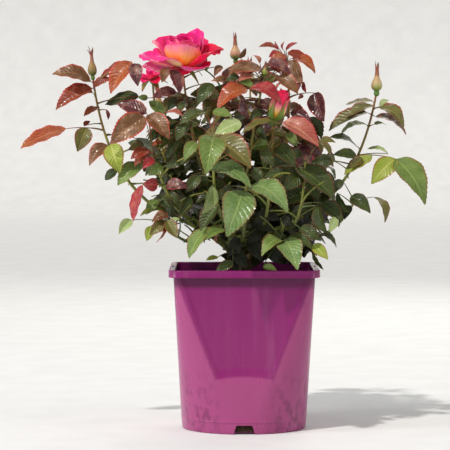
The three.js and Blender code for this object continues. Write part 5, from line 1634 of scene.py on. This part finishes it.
# %% Make the bloom
BLOOM_AXIS = (0.05, -0.4, 1)
BLOOM_SINK = -8
BLOOM_RINGS = [
    # how many, first heading, length, width, leans, cup, foot, edge roll
    (3, 20, 33, 22, (18, 0, -8), 6, 1.0, 0.5),
    (4, 65, 38, 36, (42, 8, -14, -20), 11, 2.0, 0.8),
    (4, 100, 43, 44, (60, 16, -8, -8), 16, 3.0, 1.5),
    (5, 4, 46, 48, (80, 28, 4, 10), 22, 4.0, 2.5),
]
BLOOM_SINGLES = [
    # heading, length, width, leans, cup, foot, edge roll, outer and inner finish
    (262, 52, 62, (80, 40, 8, 2), 27, 4, 1.0, (OUTSIDE, MAGENTA)),
    (212, 46, 50, (88, 54, 42, 112), 30, 4, 4.0, (CREAM, MAGENTA)),
    (188, 58, 46, (94, 78, 62, 84), 30, 4, 3.0, (CREAM, MAGENTA)),
    (204, 54, 38, (98, 92, 80, 72), 28, 4, 2.0, (CREAM, MAGENTA)),
    (348, 54, 52, (90, 54, 36, 104), 28, 4, 3.0, (CRIMSON, CRIMSON)),
    (14, 56, 46, (88, 56, 46, 108), 28, 4, 3.0, (CRIMSON, CRIMSON)),
    (314, 44, 46, (100, 82, 64, 52), 24, 4, 2.0, (MAGENTA, CRIMSON)),
    (268, 22, 28, (92, 90, 98, 112), 24, 4, 1.0, (CRIMSON, CRIMSON)),
    (38, 58, 50, (84, 32, 4, 0), 24, 4, 2.0, (MAGENTA, MAGENTA)),
    (66, 52, 54, (88, 50, 36, 80), 30, 4, 3.0, (OUTSIDE, INSIDE)),
    (104, 52, 54, (90, 56, 44, 88), 30, 4, 3.0, (CRIMSON, INSIDE)),
    (146, 52, 54, (88, 50, 38, 84), 30, 4, 3.0, (OUTSIDE, INSIDE)),
]
BLOOM_HIP = [(0.01, -11), (2.0, -10.5), (4.6, -7), (5.4, -3.6), (4.4, -0.6), (5.0, 1.2), (0.01, 2.4)]
HIP_STEPS = 20
HEADING_STEP = 9

bm = bmesh.new()
matrix = flower_frame("bloom", BLOOM_AXIS, BLOOM_SINK)
seed = 0
for count, first, length, width, leans, cup, foot, roll in BLOOM_RINGS:
    for i in range(count):
        seed += 1
        heading = first + 360 * i / count + HEADING_STEP * (seed % 3)
        petal(bm, matrix, heading, length, width, leans, cup, foot=foot, edge_roll=roll, seed=seed,
              point=0.04, finishes=(OUTSIDE, MAGENTA))
for heading, length, width, leans, cup, foot, roll, finishes in BLOOM_SINGLES:
    seed += 1
    petal(bm, matrix, heading, length, width, leans, cup, foot=foot, edge_roll=roll, seed=seed, point=0.05,
          ruffle=0.06, finishes=finishes)
for i in range(SEPALS):
    petal(bm, matrix, SEPAL_TURN * i + 30, 34, 9, (100, 118, 128, 150), 8, foot=3, ruffle=0.02, broadest=0.3,
          across=4, along=8, seed=40 + i, finishes=(SEPAL, SEPAL), taper=TAILED_SEPAL)
turned(bm, BLOOM_HIP, matrix, HIP_STEPS, HIP)
finish_piece(bm, "open_bloom", flower_finishes)

# %% [markdown]
# ## The small second bloom
# Half hidden at the left is a smaller and older bloom whose petals hang open. It is the same
# flower with fewer and smaller petals.

# %% Make the second bloom
SECOND_BLOOM_AXIS = (-0.25, -0.3, 1)
SECOND_BLOOM_SINK = -6
SECOND_BLOOM_PETALS = [
    # heading, length, width, leans, cup
    (20, 15, 11, (20, 4, -8), 4), (140, 15, 11, (20, 4, -8), 4), (260, 15, 12, (24, 6, 0), 5),
    (80, 18, 15, (60, 40, 60), 9), (200, 20, 17, (70, 50, 70), 9), (320, 18, 15, (70, 60, 80), 9),
    (240, 20, 17, (84, 80, 96), 10), (290, 19, 17, (92, 96, 110), 10), (170, 24, 18, (80, 70, 84), 10),
    (120, 19, 17, (84, 80, 100), 10), (30, 19, 17, (90, 90, 100), 10),
]
SECOND_BLOOM_HIP = [(0.01, -8), (1.6, -7.6), (3.4, -5), (3.6, -2), (3.0, 0.6), (0.01, 1.6)]
SMALL_HIP_STEPS = 16

bm = bmesh.new()
matrix = flower_frame("second_bloom", SECOND_BLOOM_AXIS, SECOND_BLOOM_SINK)
for i, (heading, length, width, leans, cup) in enumerate(SECOND_BLOOM_PETALS):
    petal(bm, matrix, heading, length, width, leans, cup, foot=1.6, seed=60 + i, across=6, along=8,
          finishes=(CRIMSON if i % 2 else INSIDE, INSIDE))
for i in range(SEPALS):
    petal(bm, matrix, SEPAL_TURN * i, 22, 6, (100, 124, 140), 6, foot=2, broadest=0.3, across=4, along=6,
          seed=80 + i, finishes=(SEPAL, SEPAL))
turned(bm, SECOND_BLOOM_HIP, matrix, SMALL_HIP_STEPS, HIP)
finish_piece(bm, "second_bloom", flower_finishes)

# %% [markdown]
# ## Buds
# A rose bud is a tight drop of petals in five green sepals that clasp it and end in long
# leafy tails. The tails stand apart above the point, which gives the frayed tip that shows
# against the sky. Under it sits the green hip, a little narrower than the bud.

# %% Make the buds
BUD_OUTLINE = [
    # share of the height, share of the radius
    (0, 0.3), (0.05, 0.7), (0.14, 0.95), (0.24, 1.0), (0.35, 0.88), (0.47, 0.6), (0.6, 0.35),
    (0.74, 0.21), (0.88, 0.13), (1.0, 0.0),
]
BUD_HIP = [(0.34, -1.0), (0.56, -0.7), (0.62, -0.3)]
SEPAL_COLUMNS = 4
TAIL_START = 0.55
BUD_SKIN, BUD_TAIL, BUD_STALK = range(3)
BUDS = {
    # radius, height, how far the tails lean out, hip, skin, axis
    "left_bud": (6.2, 36, 30, 0.8, "brown", (-0.05, 0, 1)),
    "centre_bud": (7.4, 34, 3, 0.8, "rosy", (-0.03, 0, 1)),
    "right_bud": (7.6, 36, 9, 0.85, "cream", (0.02, 0, 1)),
    "back_left": (7, 36, 26, 0.85, "brown", (-0.1, 0.2, 1)),
    "back_centre": (7, 36, 20, 0.85, "cream", (0, 0.1, 1)),
    "middle_red": (4.2, 18, 6, 0.9, "young", (0.1, 0, 1)),
    "back_right": (4.6, 19, 12, 0.9, "young", (0.1, 0.2, 1)),
}


def share_of(table, share):
    for (low, first), (high, second) in zip(table, table[1:]):
        if share <= high:
            return mix_of(first, second, (share - low) / (high - low))
    return table[-1][1]


def bud_body(bm, matrix, radius, height):
    """The closed drop: five sepals side by side, each with its own run of the UV map."""
    before = set(bm.verts)
    uv_map = bm.loops.layers.uv.new("UVMap")
    bmesh.ops.create_grid(bm, x_segments=SEPALS * SEPAL_COLUMNS, y_segments=14, size=0.5, calc_uvs=True)
    verts = [vert for vert in bm.verts if vert not in before]
    faces = list({face for vert in verts for face in vert.link_faces})
    for face in faces:
        sepal = math.floor(SEPALS * sum(loop[uv_map].uv.x for loop in face.loops) / len(face.loops))
        for loop in face.loops:
            loop[uv_map].uv.x = SEPALS * loop[uv_map].uv.x - sepal
    for vert in verts:
        share, turn = vert.co.y + 0.5, FULL_TURN * (vert.co.x + 0.5)
        ridge = 0.94 + 0.1 * abs(math.sin(0.5 * SEPALS * turn))
        round_here = radius * ridge * share_of(BUD_OUTLINE, share)
        vert.co = Vector((round_here * math.cos(turn), round_here * math.sin(turn), share * height))
    bmesh.ops.transform(bm, matrix=matrix, verts=verts)
    bmesh.ops.remove_doubles(bm, verts=verts, dist=0.02)
    bmesh.ops.recalc_face_normals(bm, faces=[face for face in faces if face.is_valid])


def bud(bm, matrix, radius, height, tail_spread, hip):
    """A closed bud on its hip. tail_spread: how far the sepals' tails lean out, in degrees."""
    bud_body(bm, matrix, radius, height)
    start = TAIL_START * height
    for i in range(SEPALS):
        tail = tail_spread * (0.3 + ((i * 3) % SEPALS) / 4)
        reach = (height - start) * (1.0 + 0.08 * ((i * 2) % SEPALS))
        petal(bm, matrix @ Matrix.Translation((0, 0, start)), SEPAL_TURN * i + 10, reach, 0.7 * radius,
              (-14, -8, 0.6 * tail, tail, tail), 0.5 * radius, foot=0.42 * radius, seed=9 + i, across=4,
              ruffle=0.01, broadest=0.1, wall=0.3, finishes=(BUD_TAIL, BUD_TAIL), taper=TAILED_SEPAL)
    drop = hip * radius
    outline = [(width * drop, depth * drop) for width, depth in BUD_HIP]
    outline = [(0.01, -1.1 * drop), *outline, (0.5 * drop, 0.1), (0.01, 1.2)]
    turned(bm, outline, matrix, SMALL_HIP_STEPS, BUD_STALK)


def bud_finishes(skin):
    return [petals["bud skin " + skin], petals["sepal tail"], hip_finish]


for name, (radius, height, spread, hip, skin, axis) in BUDS.items():
    bm = bmesh.new()
    bud(bm, flower_frame(name, axis), radius, height, spread, hip)
    finish_piece(bm, name + "_flower_bud", bud_finishes(skin))

# %% [markdown]
# One tiny bud on a thin twig of its own stands between the bloom and the middle bud.

# %% Make the tiny bud
SIDE_BUD_FOOT = Vector((-51, 6, 482))
SIDE_TWIG_AT = 0.62
SIDE_BUD_RISE = 3
SIDE_TWIG_FOOT_RADIUS, SIDE_TWIG_TIP_RADIUS = 1.5, 1.0
SIDE_BUD = (4.6, 16, 3, 0.8)

bm = bmesh.new()
side_twig = arching(shoots["centre_bud"].place(SIDE_TWIG_AT), UP, SIDE_BUD_FOOT)
tube(bm, side_twig, tapering(SIDE_TWIG_FOOT_RADIUS, SIDE_TWIG_TIP_RADIUS), sides=7, steps=10)
for face in bm.faces:
    face.material_index = BUD_STALK
bud(bm, Matrix.Translation(SIDE_BUD_FOOT + SIDE_BUD_RISE * UP), *SIDE_BUD)
finish_piece(bm, "side_flower_bud", bud_finishes("young"))

# %% [markdown]
# ## The half-open bud
# In the middle of the bush one bud has just burst: its petals are still rolled, pink at the
# tip and yellow at the foot, and the sepals have let go and clasp it loosely.

# %% Make the half-open bud
STREAKED, ROLLED, LOOSE_SEPAL, GREEN_HIP = range(4)
HALF_OPEN_AXIS = (0.34, -0.12, 1)
HALF_OPEN_SINK = -4
HALF_OPEN_PETALS = [
    # heading, length, width, leans, cup, outer finish
    (30, 43, 20, (18, 4, -6), 5.5, ROLLED), (150, 43, 20, (18, 4, -6), 5.5, ROLLED),
    (270, 43, 20, (18, 4, -6), 5.5, ROLLED), (90, 44, 28, (52, 12, -12, -8), 9, ROLLED),
    (330, 44, 28, (52, 12, -12, -4), 9, ROLLED), (210, 42, 27, (58, 12, -12, -8), 9, STREAKED),
    (262, 37, 28, (74, 20, -10, -6), 10.5, STREAKED), (20, 40, 29, (72, 18, -8, 6), 10.5, STREAKED),
    (140, 42, 30, (70, 16, -8, 4), 10.5, STREAKED),
]
HALF_OPEN_SEPALS = (232, 304, 16, 88, 160)
HALF_OPEN_HIP = [(0.01, -10), (2.2, -9.4), (4.8, -6), (5.6, -2.4), (4.6, 0.6), (0.01, 2)]

bm = bmesh.new()
matrix = flower_frame("half_open", HALF_OPEN_AXIS, HALF_OPEN_SINK)
for i, (heading, length, width, leans, cup, outer) in enumerate(HALF_OPEN_PETALS):
    petal(bm, matrix, heading, length, width, leans, cup, foot=1.6, seed=100 + i, across=6,
          finishes=(outer, ROLLED))
for i, heading in enumerate(HALF_OPEN_SEPALS):
    petal(bm, matrix, heading, 36, 9, (92, 42, 6, -4, 4, 20), 13, foot=3, broadest=0.26, across=4,
          seed=120 + i, finishes=(LOOSE_SEPAL, LOOSE_SEPAL), taper=TAILED_SEPAL)
turned(bm, HALF_OPEN_HIP, matrix, SMALL_HIP_STEPS, GREEN_HIP)
half_open_finishes = [petals["half open petal"], petals["half open inner petal"], petals["sepal"], hip_finish]
finish_piece(bm, "half_open_bud", half_open_finishes)

# %% Print the sizes and finish
made_box = [list(corner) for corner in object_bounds()]
print("made box:", rounded(made_box))
